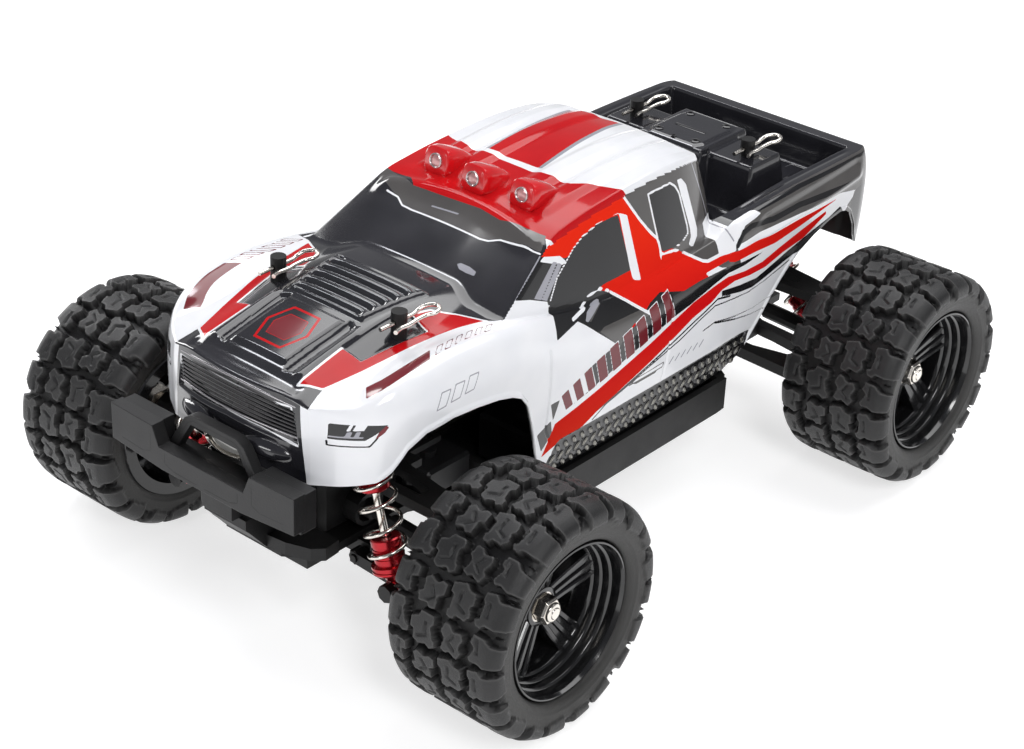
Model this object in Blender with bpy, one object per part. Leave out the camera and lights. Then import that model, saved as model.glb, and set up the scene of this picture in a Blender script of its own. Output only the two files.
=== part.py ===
"""Four-wheel-drive remote control monster truck, about 1:18 scale.

Frame: metres, +Z up, origin on the ground under the middle of the whole truck.
The truck faces -Y, so its left side is +X. Dimensions below are in millimetres,
measured from under the middle of the wheelbase, and are scaled to metres by MM.
The bumper reaches further out than the rear tyres, so the middle of the truck
is MID_Y in front of the middle of the wheelbase.

Parts that repeat on both sides are drawn on the left and mirrored for the right.
"""
import itertools
import math

import bmesh
import bpy
import numpy as np
from mathutils import Matrix, Vector

MM = 0.001
MID_Y = -6.25
FRONT, REAR = -1, 1        # also the direction along Y from the middle to that end
LEFT, RIGHT = 1, -1        # also the direction along X

# ------------------------------------------------------------ main dimensions
WHEELBASE = 197.0
HALF_TRACK = 82.0          # wheel centre plane from the middle
TYRE_R = 38.0
TYRE_W = 41.0
AXLE_Z = TYRE_R
Y_F, Y_R = -WHEELBASE / 2, WHEELBASE / 2
AXLE_Y = {FRONT: Y_F, REAR: Y_R}

# suspension pivots; arms, half shafts and tie rods all fall by ARM_FALL going outwards
ARM_IN_X, ARM_OUT_X = 22.0, 60.0
ARM_SPAN = ARM_OUT_X - ARM_IN_X
ARM_FALL = 2.0
LOWER_IN_Z = 27.5
UPPER_IN_Z = 55.5
SHAFT_IN_Z = 40.0
LOWER_OUT_Z = LOWER_IN_Z - ARM_FALL
UPPER_OUT_Z = UPPER_IN_Z - ARM_FALL
SHAFT_OUT_Z = SHAFT_IN_Z - ARM_FALL
KING_X = ARM_OUT_X                 # kingpin
ARM_WIDE, ARM_NARROW = 14.2, 8.8   # lower arm from the axle towards the middle and the end

# shocks: distance from the axle towards the end of the truck, (x, z) of both eyes
SHOCKS = {FRONT: {"offset": 15.5, "low": (46.0, 31.5), "top": (33.5, 73.5)},
          REAR: {"offset": 14.0, "low": (46.0, 31.0), "top": (17.5, 57.0)}}

STEER_ARM_Y = Y_F + 18.0           # ball of the steering arm
STEER_IN_X = 20.0                  # ball of the steering link
STEER_Z = 44.0

# body posts, with the clip hole CLIP_DROP below the top
POSTS = {FRONT: {"x": 25.3, "y": -92.4, "top": 108.8},
         REAR: {"x": 24.3, "y": 83.8, "top": 109.6}}
CLIP_DROP = 3.3

DECK_Z = 33.0                      # top of the decks that carry the gearboxes
DRIVE_Z = AXLE_Z                   # centre driveshaft

# ------------------------------------------------------------ clear the scene
for old in list(bpy.data.objects):
    bpy.data.objects.remove(old, do_unlink=True)
for old in list(bpy.data.meshes):
    if old.users == 0:
        bpy.data.meshes.remove(old)

# ------------------------------------------------------------------ materials
MATS = {}


def material(name, colour, roughness, metallic=0.0):
    mat = bpy.data.materials.new(name)
    mat.use_nodes = True
    inputs = mat.node_tree.nodes["Principled BSDF"].inputs
    inputs["Base Color"].default_value = (*colour, 1.0)
    inputs["Roughness"].default_value = roughness
    inputs["Metallic"].default_value = metallic
    MATS[name] = mat


material("shell_paint", colour=(0.80, 0.81, 0.84), roughness=0.15)
material("black_nylon", colour=(0.025, 0.025, 0.027), roughness=0.5)
material("gloss_black", colour=(0.012, 0.012, 0.013), roughness=0.2)
material("tyre_rubber", colour=(0.03, 0.03, 0.031), roughness=0.75)
material("steel", colour=(0.75, 0.73, 0.70), roughness=0.25, metallic=1.0)
material("red_metal", colour=(0.45, 0.02, 0.03), roughness=0.3, metallic=0.8)
material("motor_can", colour=(0.55, 0.55, 0.56), roughness=0.35, metallic=1.0)
material("battery_wrap", colour=(0.05, 0.09, 0.30), roughness=0.4)
material("esc_case", colour=(0.06, 0.06, 0.065), roughness=0.4)


# ------------------------------------------------------------ objects and booleans
def store(name, bm, mat, origin, smooth):
    """Turns millimetres in world space into an object whose origin is at origin."""
    for v in bm.verts:
        v.co = (v.co - Vector(origin)) * MM
    mesh = bpy.data.meshes.new(name)
    bm.to_mesh(mesh)
    bm.free()
    ob = bpy.data.objects.new(name, mesh)
    ob.location = (Vector(origin) - Vector((0, MID_Y, 0))) * MM
    bpy.context.scene.collection.objects.link(ob)
    if mat:
        mesh.materials.append(MATS[mat])
    if smooth:
        mesh.shade_smooth()
        mesh.set_sharp_from_angle(angle=math.radians(smooth))
    return ob


def to_object(name, bm, mat=None, origin=(0, 0, 0), smooth=None):
    bmesh.ops.remove_doubles(bm, verts=bm.verts, dist=1e-4)
    bmesh.ops.recalc_face_normals(bm, faces=bm.faces)
    return store(name, bm, mat, origin, smooth)


def mirrored(bm, side):
    """Mirrors left-hand geometry when side is RIGHT."""
    if side == RIGHT:
        for v in bm.verts:
            v.co.x = -v.co.x
    return bm


HELPER_NUMBERS = itertools.count(1)


def helper(bm):
    ob = to_object("helper_%03d" % next(HELPER_NUMBERS), bm)
    ob.hide_render = True
    ob.display_type = "WIRE"
    return ob


def boolean(ob, solids, operation, side=LEFT):
    for bm in solids:
        modifier = ob.modifiers.new(operation.lower(), "BOOLEAN")
        modifier.operation = operation
        modifier.solver = "EXACT"
        modifier.object = helper(mirrored(bm, side))


def piece(name, mat, base, adds=(), cuts=(), origin=(0, 0, 0), side=LEFT, smooth=35):
    """A base solid with others joined to it and cut from it, mirrored for the right side."""
    x, y, z = origin
    ob = to_object(name, mirrored(base, side), mat, (side * x, y, z), smooth)
    boolean(ob, adds, "UNION", side)
    boolean(ob, cuts, "DIFFERENCE", side)
    return ob


# --------------------------------------------------------------------- solids
def box(x0, x1, y0, y1, z0, z1):
    """A box between two values on each axis, given in either order."""
    bm = bmesh.new()
    bmesh.ops.create_cube(bm, size=1.0)
    spans = [sorted(pair) for pair in ((x0, x1), (y0, y1), (z0, z1))]
    for v in bm.verts:
        v.co = Vector([span[co > 0] for span, co in zip(spans, v.co)])
    return bm


def bevelled(bm, width):
    bmesh.ops.bevel(bm, geom=list(bm.edges), offset=width, segments=1, affect="EDGES",
                    profile=0.5)
    return bm


def rod(start, end, radius, sides=12, end_radius=None):
    """A cylinder or cone between two points."""
    start, end = Vector(start), Vector(end)
    along = end - start
    bm = bmesh.new()
    bmesh.ops.create_cone(bm, cap_ends=True, cap_tris=False, segments=sides, radius1=radius,
                          radius2=radius if end_radius is None else end_radius,
                          depth=along.length)
    turn = along.to_track_quat("Z", "Y").to_matrix().to_4x4()
    bmesh.ops.transform(bm, matrix=Matrix.Translation((start + end) / 2) @ turn, verts=bm.verts)
    return bm


def rod_x(x0, x1, y, z, radius, sides=12):
    return rod((x0, y, z), (x1, y, z), radius, sides)


def rod_y(x, y0, y1, z, radius, sides=12):
    return rod((x, y0, z), (x, y1, z), radius, sides)


def rod_z(x, y, z0, z1, radius, sides=12, end_radius=None):
    return rod((x, y, z0), (x, y, z1), radius, sides, end_radius)


def prism(points, axis, start, end):
    """Extrudes a polygon along an axis. points are the other two coordinates in X, Y, Z order."""
    bm = bmesh.new()
    order = {"X": (1, 2, 0), "Y": (0, 2, 1), "Z": (0, 1, 2)}[axis]

    def cap(along):
        verts = []
        for point in points:
            co = [0.0, 0.0, 0.0]
            co[order[0]], co[order[1]], co[order[2]] = point[0], point[1], along
            verts.append(bm.verts.new(co))
        return verts

    low, high = cap(start), cap(end)
    n = len(points)
    bm.faces.new(low)
    bm.faces.new(high)
    for i in range(n):
        bm.faces.new((low[i], low[(i + 1) % n], high[(i + 1) % n], high[i]))
    return bm


def circle(centre, u, w, radius, n):
    """Points of a circle in the plane of the unit vectors u and w."""
    return [centre + (u * math.cos(t) + w * math.sin(t)) * radius
            for t in (2 * math.pi * k / n for k in range(n))]


LATHE_FRAMES = {"X": ((1, 0, 0), (0, 1, 0), (0, 0, 1)),
                "Y": ((0, 1, 0), (0, 0, 1), (1, 0, 0)),
                "Z": ((0, 0, 1), (1, 0, 0), (0, 1, 0))}


def lathe(profile, centre, axis, n):
    """Turns a closed profile of (along, radius) about an axis; a radius of 0 is a pole."""
    bm = bmesh.new()
    centre = Vector(centre)
    if isinstance(axis, str):
        axis, u, w = (Vector(direction) for direction in LATHE_FRAMES[axis])
    else:
        axis = Vector(axis).normalized()
        u = axis.orthogonal().normalized()
        w = axis.cross(u)
    rings = []
    for along, radius in profile:
        middle = centre + axis * along
        points = [middle] if radius < 1e-6 else circle(middle, u, w, radius, n)
        rings.append([bm.verts.new(p) for p in points])
    m = len(rings)
    closed = profile[0][1] > 1e-6 and profile[-1][1] > 1e-6
    for i in range(m if closed else m - 1):
        here, after = rings[i], rings[(i + 1) % m]
        for k in range(n):
            k2 = (k + 1) % n
            verts = []
            for ring, index in ((here, k), (here, k2), (after, k2), (after, k)):
                v = ring[index] if len(ring) > 1 else ring[0]
                if v not in verts:
                    verts.append(v)
            if len(verts) > 2:
                bm.faces.new(verts)
    return bm


def tube(path, radius, n):
    """A round bar along a path, with flat ends."""
    bm = bmesh.new()
    path = [Vector(p) for p in path]
    rings = []
    u = None
    for i, p in enumerate(path):
        tangent = (path[min(i + 1, len(path) - 1)] - path[max(i - 1, 0)]).normalized()
        if u is None:
            u = tangent.orthogonal().normalized()
        else:       # carry the last direction along, so the bar doesn't twist
            u = (u - tangent * u.dot(tangent)).normalized()
        rings.append([bm.verts.new(q) for q in circle(p, u, tangent.cross(u), radius, n)])
    for a, b in zip(rings, rings[1:]):
        for k in range(n):
            bm.faces.new((a[k], a[(k + 1) % n], b[(k + 1) % n], b[k]))
    bm.faces.new(rings[0])
    bm.faces.new(rings[-1])
    return bm


# ---------------------------------------------------------- smooth functions
def smoothstep(start, end, value):
    t = np.clip((value - start) / (end - start), 0, 1)
    return t * t * (3 - 2 * t)


def smooth_min(a, b, blend):
    h = np.clip(0.5 + 0.5 * (b - a) / blend, 0, 1)
    return b * (1 - h) + a * h - blend * h * (1 - h)


def smooth_max(a, b, blend):
    return -smooth_min(-a, -b, blend)


def curve(table, at):
    """Monotone cubic through a table of (position, value), so that it doesn't overshoot."""
    xs, values = np.array(table, float).T
    chords = np.diff(values) / np.diff(xs)
    slopes = np.zeros(len(xs))
    slopes[0], slopes[-1] = chords[0], chords[-1]
    for i in range(1, len(xs) - 1):
        a, b = chords[i - 1], chords[i]
        slopes[i] = 0 if a * b <= 0 else 2 * a * b / (a + b)
    at = np.clip(at, xs[0], xs[-1])
    k = np.clip(np.searchsorted(xs, at) - 1, 0, len(xs) - 2)
    h = xs[k + 1] - xs[k]
    t = (at - xs[k]) / h
    return ((2 * t**3 - 3 * t**2 + 1) * values[k] + (t**3 - 2 * t**2 + t) * h * slopes[k]
            + (-2 * t**3 + 3 * t**2) * values[k + 1] + (t**3 - t**2) * h * slopes[k + 1])


# ----------------------------------------------------------------- body shell
SHELL_T = 1.1
NOSE_CORNER_Y = -132.6      # crease between grille and wing

# (y, z): bonnet on the centre line
CROWN_Z = [(-137, 94.5), (-132, 96.6), (-120, 99.4), (-106, 102.2), (-92, 104.4),
           (-78, 105.2), (-62, 104.6), (-40, 100), (0, 92)]
# (y, z): crown of the front wing and the belt line behind it
WING_Z = [(-134, 86), (-128, 91), (-122, 95), (-114, 98.6), (-104, 101.2), (-90, 102.6),
          (-76, 101.8), (-62, 99.6), (-48, 96.4), (-36, 93.6), (-20, 91.6), (0, 91),
          (40, 92.5), (50, 96.6), (90, 98.8), (131, 98.6)]
# (y, half width): outline of the upper surface
EDGE_X = [(-133, 27.0), (-131, 29.5), (-128, 33.5), (-124, 37.6), (-119, 40.8), (-112, 42.8),
          (-102, 43.8), (-88, 44.0), (-70, 44.0), (-50, 44.0), (-30, 44.0), (0, 43.8),
          (40, 43.8), (50, 44.2), (90, 44.4), (124, 44.0), (128.5, 43.2), (131, 41.8)]
# (y, half width): outline of the flanks
WIDE_X = [(-133, 28.2), (-131, 31.6), (-128, 36.6), (-124, 41.4), (-119, 45.6), (-112, 48.6),
          (-102, 50.2), (-88, 50.6), (-55, 50.0), (0, 49.6), (50, 49.4), (100, 48.6),
          (124, 47.2), (128.5, 46.2), (131, 44.6)]
# (y, z): lower edge of the flanks with both wheel arches, joined by straight lines
SILL_Z = [(-133, 68.2), (-128, 69.0), (-121, 70.4), (-117.4, 73.6), (-113, 80.0),
          (-106.7, 83.6), (-96, 84.6), (-85.7, 83.8), (-76, 82.2), (-69.2, 80.2),
          (-64.6, 77.8), (-61.2, 73.6), (-58.4, 66.0), (-55.4, 57.4), (-52.0, 49.4),
          (-48.5, 43.4), (-44.0, 40.2), (50.0, 39.6), (56.5, 43.2), (60.0, 47.0),
          (65.7, 55.2), (70.0, 61.6), (74.7, 66.9), (80.1, 71.8), (84.7, 75.0), (93.1, 78.4),
          (102.3, 80.8), (109.8, 81.6), (114.6, 80.4), (118.4, 77.6), (122.0, 72.2),
          (125.4, 66.0), (128.6, 62.0), (131, 61.6)]
# (y, z): roof on the centre line
ROOF_Z = [(-60, 116.6), (-38, 118.6), (-14, 121.4), (15, 122.9), (30, 122.2), (42, 120.2),
          (48, 118.4)]
# (y, half width): cab flanks at CAB_FLANK_Z
CAB_X = [(-70, 35.6), (-36, 35.4), (-12, 35.4), (14, 35.0), (30, 34.0), (42, 31.6), (48, 29.0)]
CAB_FLANK_Z = 117.0
# (y, half width): inner side of the load bed rails
RAIL_X = [(44, 36.0), (50, 38.8), (60, 39.6), (131, 39.4)]
BED_FRONT_Y = 45.5
BED_FLOOR_Z = 86.0
# raised blocks in the bed: top, (start, end) of the falls to the side, of the rise and fall in y
BED_BLOCKS = [(103.6, (31.0, 35.5), (72.0, 76.5), (93.0, 98.0)),
              (105.4, (13.0, 16.0), (66.0, 72.0), (98.0, 103.5))]

FLANK_ROUND_H = 14.0        # height over which the flank swells out below the edge

# stations of the mesh along y, columns as fractions of the half width, rows down the sides
STATIONS = [-132.0, -128.5, -123, -116, -104, -90, -76, -65, -57, -48, -36, -14, 14, 36,
            44.5, 49, 60, 66.5, 73, 77, 93, 97.5, 103.5, 114, 123.8, 125.8, 130.5]
HALF_COLUMNS = [0, .32, .46, .6, .74, .87, .93, 1.0]
COLUMNS = [-u for u in HALF_COLUMNS[:0:-1]] + HALF_COLUMNS
SIDE_STEPS = [0.2, 0.55, 1.0]
BOW = {0: 3.2, 1: 2.0}      # how far the first two stations bow forward in the middle
NOSE_BULGE = 2.2

LAMPS = [(-18.0, -29.8, 123.0), (0.0, -32.4, 123.4), (18.0, -29.8, 123.0)]
LAMP_PROFILE = [(0, 0.0), (0, 4.7), (1.2, 5.3), (4, 5.3), (17, 3.0), (20, 0.0)]
LAMP_AXIS = (0, 1, -0.19)


def bonnet_z(ax, y):
    """Bonnet and front wings, at the distance ax from the middle."""
    bonnet = curve(CROWN_Z, y) - 0.0016 * ax**2 - 2.2 * smoothstep(18, 30, ax)
    wing = curve(WING_Z, y) - 0.028 * (ax - 43.5) ** 2
    return smooth_max(bonnet, wing, blend=1.6)


def cab_z(ax, y):
    """Cab as the lowest of four surfaces: roof, windscreen, flank and back."""
    roof = curve(ROOF_Z, y) - 0.0016 * ax**2
    screen = 100.0 + 0.55 * (y + 65.0) + 2.6 * (1 - (ax / 38.0) ** 2)
    flank = CAB_FLANK_Z - (ax - curve(CAB_X, y)) / 0.31
    back = 118.2 - (y - 44.5) * 4.6
    return smooth_min(smooth_min(roof, screen, blend=2.0),
                      smooth_min(flank, back, blend=2.0), blend=2.6)


def bed_z(ax, y):
    """Load bed: rails, sunken floor and the raised blocks."""
    rail = curve(WING_Z, y)
    inside = (smoothstep(0, 1.8, curve(RAIL_X, y) - ax) * smoothstep(46.5, 49.0, y)
              * smoothstep(0, 1.8, 125.6 - y))
    z = rail + (BED_FLOOR_Z - rail) * inside
    if inside > 0.5:
        for top, aside, rise, fall in BED_BLOCKS:
            height = ((top - BED_FLOOR_Z) * (1 - smoothstep(*aside, ax))
                      * smoothstep(*rise, y) * (1 - smoothstep(*fall, y)))
            z = max(z, BED_FLOOR_Z + height)
    return z


def upper_z(x, y):
    """Height of everything seen from above: bonnet, wings, cab and load bed."""
    ax = abs(x)
    if y > BED_FRONT_Y:
        base = bed_z(ax, y)
    elif y >= 40:
        base = curve(WING_Z, y)
    else:
        base = bonnet_z(ax, y)
    return float(smooth_max(base, cab_z(ax, y), blend=1.2))


def flank_x(y, z, top):
    """Half width of the body side at height z. top is where the upper surface ends."""
    edge, wide = curve(EDGE_X, y), curve(WIDE_X, y)
    t = np.clip((top - z) / FLANK_ROUND_H, 0, 1)
    slack = 1 - (1 - t) ** 2
    # round at the wings and the bed, slacker along the cab
    roundness = 1 - smoothstep(-66, -46, y) * (1 - smoothstep(44, 52, y))
    x = edge + (wide - edge) * (np.sqrt(slack) * roundness + slack * (1 - roundness))
    return float(x - np.clip(top - FLANK_ROUND_H - z, 0, None) ** 2 * 0.0022)


def add_strip(bm, a, b):
    for i in range(len(a) - 1):
        bm.faces.new((a[i], a[i + 1], b[i + 1], b[i]))


def shell_top(bm):
    grid = []
    for j, station in enumerate(STATIONS):
        row = []
        for u in COLUMNS:
            y = NOSE_CORNER_Y if j == 0 else station
            y -= BOW.get(j, 0) * (1 - u * u)
            x = curve(EDGE_X, station) * u
            row.append(bm.verts.new((x, y, upper_z(x, station if j > 1 else y))))
        grid.append(row)
    for a, b in zip(grid, grid[1:]):
        add_strip(bm, a, b)
    return grid


def shell_flank(bm, grid, side):
    """Rows of vertices from the edge of the top down to the sill."""
    edge = [row[0] if side == RIGHT else row[-1] for row in grid]
    rows = []
    above = edge
    for step in SIDE_STEPS:
        row = []
        for station, v in zip(STATIONS, edge):
            top = v.co.z
            sill = float(np.interp(v.co.y, *np.array(SILL_Z).T))
            z = top + (sill - top) * step
            row.append(bm.verts.new((side * flank_x(station, z, top), v.co.y, z)))
        add_strip(bm, above, row)
        above = row
        rows.append(row)
    return rows


def shell_end(bm, grid, flanks, j, bulge):
    """Nose panel or tailgate below station j, between the two flanks."""
    above = grid[j]
    bottom = flanks[LEFT][-1][j].co.z
    for k, step in enumerate(SIDE_STEPS):
        half_width = flanks[LEFT][k][j].co.x
        row = [flanks[RIGHT][k][j]]
        for u, v in list(zip(COLUMNS, grid[j]))[1:-1]:
            z = v.co.z + (bottom - v.co.z) * step
            forward = bulge * (1 - u * u) * math.sin(math.pi * min(1, step * 1.1))
            row.append(bm.verts.new((u * half_width, v.co.y - forward, z)))
        row.append(flanks[LEFT][k][j])
        add_strip(bm, above, row)
        above = row


def build_shell():
    bm = bmesh.new()
    grid = shell_top(bm)
    flanks = {side: shell_flank(bm, grid, side) for side in (RIGHT, LEFT)}
    shell_end(bm, grid, flanks, 0, NOSE_BULGE)
    shell_end(bm, grid, flanks, len(STATIONS) - 1, 0)
    # the sheet is open below, so make sure that its outer side faces up
    bmesh.ops.recalc_face_normals(bm, faces=bm.faces)
    highest = max(bm.faces, key=lambda face: face.calc_center_median().z)
    if highest.normal.z < 0:
        bmesh.ops.reverse_faces(bm, faces=bm.faces)
    ob = store("body_shell", bm, "shell_paint", (0, 0, 0), 32)
    solidify = ob.modifiers.new("thickness", "SOLIDIFY")
    solidify.thickness = SHELL_T * MM
    solidify.offset = -1.0
    solidify.use_even_offset = False
    # three lamp pods rising from the brow over the windscreen
    boolean(ob, [lathe(LAMP_PROFILE, place, LAMP_AXIS, 12) for place in LAMPS], "UNION")
    # holes for the body posts
    boolean(ob, [rod_z(side * POSTS[end]["x"], POSTS[end]["y"], 92, 112, 3.4, 8)
                 for side in (RIGHT, LEFT) for end in (FRONT, REAR)], "DIFFERENCE")


build_shell()

# ---------------------------------------------------------------- chassis tub
# (x, z) across the truck
TUB_SECTION = [(-48.2, 38.6), (-48.2, 26.6), (-44.0, 23.6), (44.0, 23.6), (48.2, 26.6),
               (48.2, 38.6)]
# (x, y) seen from above
TUB_PLAN = [(-34, -53), (34, -53), (46.6, -40), (46.6, 47), (46.4, 50), (34, 58), (-34, 58),
            (-46.4, 50), (-46.6, 47), (-46.6, -40)]
HOLLOW_PLAN = [(-31.6, -50.6), (31.6, -50.6), (43.2, -40), (43.2, 47.5), (32.6, 55.6),
               (-32.6, 55.6), (-43.2, 47.5), (-43.2, -40)]
LIP_PLAN = [(-45.8, -38.5), (45.8, -38.5), (45.8, 46.4), (-45.8, 46.4)]
SKID_PLAN = [(-26.5, -118.5), (-27, -124.5), (-24, -127.8), (-16, -130.6), (-6, -131.8),
             (6, -131.8), (16, -130.6), (24, -127.8), (27, -124.5), (26.5, -118.5)]
BLADE_PLAN = [(-17, -118.5), (-17, -124.5), (-12, -128.4), (12, -128.4), (17, -124.5),
              (17, -118.5)]
# (distance from the middle of the wheelbase, z) along the truck
DECK_SIDE = [(50, 24.6), (62, 24.8), (80, DECK_Z - 3), (124, DECK_Z - 3), (124, DECK_Z),
             (79, DECK_Z), (62, 28.0), (50, 28.0)]
# (y, z): strut that turns up under the bumper
STRUT_SIDE = [(-116, 30.0), (-123, 30.8), (-131, 36.6), (-138.2, 45.0), (-139.8, 46.6),
              (-139.8, 50.0), (-133, 50.0), (-129, 44.0), (-122, 35.0), (-116, DECK_Z)]
TUB_TOP_Z = 38.6
ABOVE_TUB_Z = 45.0


def deck(end):
    """Deck under one gearbox with its rib, and the hinge block and pins of the lower arms."""
    parts = [prism([(end * y, z) for y, z in DECK_SIDE], "X", -18.6, 18.6),
             box(-5.5, 5.5, end * 50, end * 83, 26, 32.6),
             box(-24.2, 24.2, end * (Y_R - ARM_WIDE + 5.1), end * (Y_R + ARM_NARROW - 4.7),
                 LOWER_IN_Z - 2.0, DECK_Z - 2)]
    for side in (RIGHT, LEFT):
        parts.append(rod_y(side * ARM_IN_X, end * (Y_R - ARM_WIDE - 0.6),
                           end * (Y_R + ARM_NARROW + 0.6), LOWER_IN_Z, 1.2, 8))
    return parts


def build_chassis():
    plan = prism(TUB_PLAN, "Z", 24.6, TUB_TOP_Z)
    strut = prism(STRUT_SIDE, "X", -9, 9)
    skid = prism(SKID_PLAN, "Z", 37.2, 41.6)
    blade = prism(BLADE_PLAN, "Z", 33.6, 38.0)
    hollow = prism(HOLLOW_PLAN, "Z", 26.6, ABOVE_TUB_Z)
    lip = prism(LIP_PLAN, "Z", 29.6, ABOVE_TUB_Z)
    # notches in the end walls, in line with the driveshaft
    notches = [box(-5, 5, y0, y1, 33, ABOVE_TUB_Z) for y0, y1 in ((-58, -44), (52, 66))]
    piece("chassis_tub", "black_nylon", prism(TUB_SECTION, "Y", -41.0, 48.6),
          [plan, *deck(FRONT), *deck(REAR), strut, skid, blade], [hollow, lip, *notches])


build_chassis()

# --------------------------------------------------------------- front bumper
# (x, z) seen from the front
BUMPER_FACE = [(18.0, 68.4), (20.6, 74.6), (38.8, 75.2), (38.8, 62.9), (17.0, 60.9),
               (-17.0, 60.9), (-38.8, 62.9), (-38.8, 75.2), (-20.6, 74.6), (-18.0, 68.4)]
HOOP_FACE = [(-20.5, 66.0), (-12.5, 78.4), (-9.5, 80.2), (9.5, 80.2), (12.5, 78.4),
             (20.5, 66.0), (16.6, 66.0), (9.8, 76.8), (-9.8, 76.8), (-16.6, 66.0)]
# (x, y) seen from above
SHELF_PLAN = [(-38.4, -145), (38.4, -145), (38.4, -139.6), (26, -137.2), (-26, -137.2),
              (-38.4, -139.6)]


def build_bumper():
    shelf = prism(SHELF_PLAN, "Z", 61.6, 66.6)
    ears = [box(side * 20.8, side * 38.4, -146, -139.8, 63, 74.2) for side in (RIGHT, LEFT)]
    hoop = prism(HOOP_FACE, "Y", -143.4, -139.8)
    stay = box(-6.5, 6.5, -143, -138.4, 50.3, 63)
    piece("front_bumper", "black_nylon", prism(BUMPER_FACE, "Y", -149.0, -144.4),
          [shelf, *ears, hoop, stay])


build_bumper()

# ------------------------------------------------------- gearboxes and towers
FRONT_TOWER_Y = Y_F - 8.9          # front face of the front tower
# (x, z) seen from the front or rear
FRONT_TOWER = [(-13, 57.9), (13, 57.9), (16, 63), (27, 67.5), (37.4, 69.6), (38.4, 71.5),
               (38.4, 76.0), (36.4, 78.0), (30, 79.4), (17, 79.4), (10, 74), (-10, 74),
               (-17, 79.4), (-30, 79.4), (-36.4, 78.0), (-38.4, 76.0), (-38.4, 71.5),
               (-37.4, 69.6), (-27, 67.5), (-16, 63)]
REAR_POST_PLATE = [(-10, 56), (10, 56), (13, 66), (28.3, 71.5), (28.3, 77.0), (-28.3, 77.0),
                   (-28.3, 71.5), (-13, 66)]
REAR_SHOCK_PLATE = [(-8, 44), (8, 44), (14, 51), (21.4, 53.5), (21.4, 60.5), (8, 63),
                    (-8, 63), (-21.4, 60.5), (-21.4, 53.5), (-14, 51)]


def gearbox(end):
    """Base, additions and cuts of a case with upper hinge block, pins and drive outlets."""
    y = AXLE_Y[end]
    case = bevelled(box(-13.8, 13.8, y - 14.5, y + 14.5, DECK_Z + 0.3, 57.5), 2.0)
    adds = [box(-24.0, 24.0, y - end * 4.4, y + end * 2.1, UPPER_IN_Z - 1.9, UPPER_IN_Z + 1.9)]
    for side in (RIGHT, LEFT):
        adds.append(rod_y(side * ARM_IN_X, y - end * 9.1, y + end * 6.9, UPPER_IN_Z, 1.1, 8))
    adds.append(rod_x(-19.2, 19.2, y, SHAFT_IN_Z, 5.6, 14))
    adds.append(rod_y(0, y - end * 13, y - end * 19.5, DRIVE_Z, 4.6))
    cuts = [rod_x(side * 16.2, side * 24, y, SHAFT_IN_Z, 4.2) for side in (RIGHT, LEFT)]
    cuts.append(rod_y(0, y - end * 15, y - end * 26, DRIVE_Z, 2.7))
    return case, adds, cuts


def body_posts(end, reach_y):
    """Two body posts with arms that carry them from reach_y, and the holes for their clips."""
    y, top = POSTS[end]["y"], POSTS[end]["top"]
    adds, cuts = [], []
    for side in (RIGHT, LEFT):
        x = side * POSTS[end]["x"]
        adds.append(box(x - 4, x + 4, reach_y, y - end * 2.4, 73.2, 78.4))
        adds.append(rod_z(x, y, 74, 97.5, 3.6, 8, end_radius=2.9))
        adds.append(rod_z(x, y, 96, top, 2.5, 18))
        cuts.append(rod_y(x, y - 4, y + 4, top - CLIP_DROP, 0.98, 6))
    return adds, cuts


def shock_pins(end, root_y):
    """Pins of the upper shock eyes, from root_y."""
    x, z = SHOCKS[end]["top"]
    tip_y = AXLE_Y[end] + end * SHOCKS[end]["offset"] - 2.6
    return [rod_y(side * x, root_y, tip_y, z, 1.2, 8) for side in (RIGHT, LEFT)]


def build_gearboxes():
    case, adds, cuts = gearbox(FRONT)
    piece("front_gearbox", "black_nylon", case, adds, cuts)

    tower = prism(FRONT_TOWER, "Y", FRONT_TOWER_Y, FRONT_TOWER_Y + 3.6)
    adds, cuts = body_posts(FRONT, FRONT_TOWER_Y + 2)
    piece("front_shock_tower", "black_nylon", tower,
          adds + shock_pins(FRONT, FRONT_TOWER_Y + 1.5), cuts)

    # the rear gearbox carries its towers in one piece
    case, adds, cuts = gearbox(REAR)
    plates = [prism(REAR_POST_PLATE, "Y", Y_R - 8.4, Y_R - 4.8),
              prism(REAR_SHOCK_PLATE, "Y", Y_R + 20.6, Y_R + 23.6),
              box(-7, 7, Y_R + 13, Y_R + 21.5, 45, 56)]
    post_adds, post_cuts = body_posts(REAR, Y_R - 6)
    piece("rear_gearbox", "black_nylon", case,
          adds + plates + shock_pins(REAR, Y_R + 21.5) + post_adds, cuts + post_cuts)


build_gearboxes()

# ------------------------------------------------------ drive and electrics
MOTOR_X, MOTOR_Z = 18.5, 41.4
SERVO_X, SERVO_Y = 13.5, -66.0     # output of the steering servo
SPUR_PROFILE = [(-3, 0.0), (-3, 9.0), (3, 9.0), (3, 0.0)]


def build_driveshaft():
    spur = lathe(SPUR_PROFILE, (0, 50.5, DRIVE_Z), "Y", 20)
    cups = [rod_y(0, Y_F + 20.2, Y_F + 27, DRIVE_Z, 4.2),
            rod_y(0, Y_R - 27, Y_R - 20.2, DRIVE_Z, 4.2)]
    piece("centre_driveshaft", "steel", rod_y(0, Y_F + 17.0, Y_R - 17.0, DRIVE_Z, 2.2),
          [spur, *cups])


def build_motor():
    piece("drive_motor", "motor_can", rod_y(MOTOR_X, 14, 46.4, MOTOR_Z, 12.4, 20),
          [rod_y(MOTOR_X, 12, 14.5, MOTOR_Z, 4.4), rod_y(MOTOR_X, 46, 49.0, MOTOR_Z, 4.6)])


def build_battery():
    piece("battery_pack", "battery_wrap", bevelled(box(-42.6, -8.5, -36, 26, 27.0, 46.8), 2.2),
          [box(-30, -20, 25, 28.6, 34, 41)])


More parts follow.
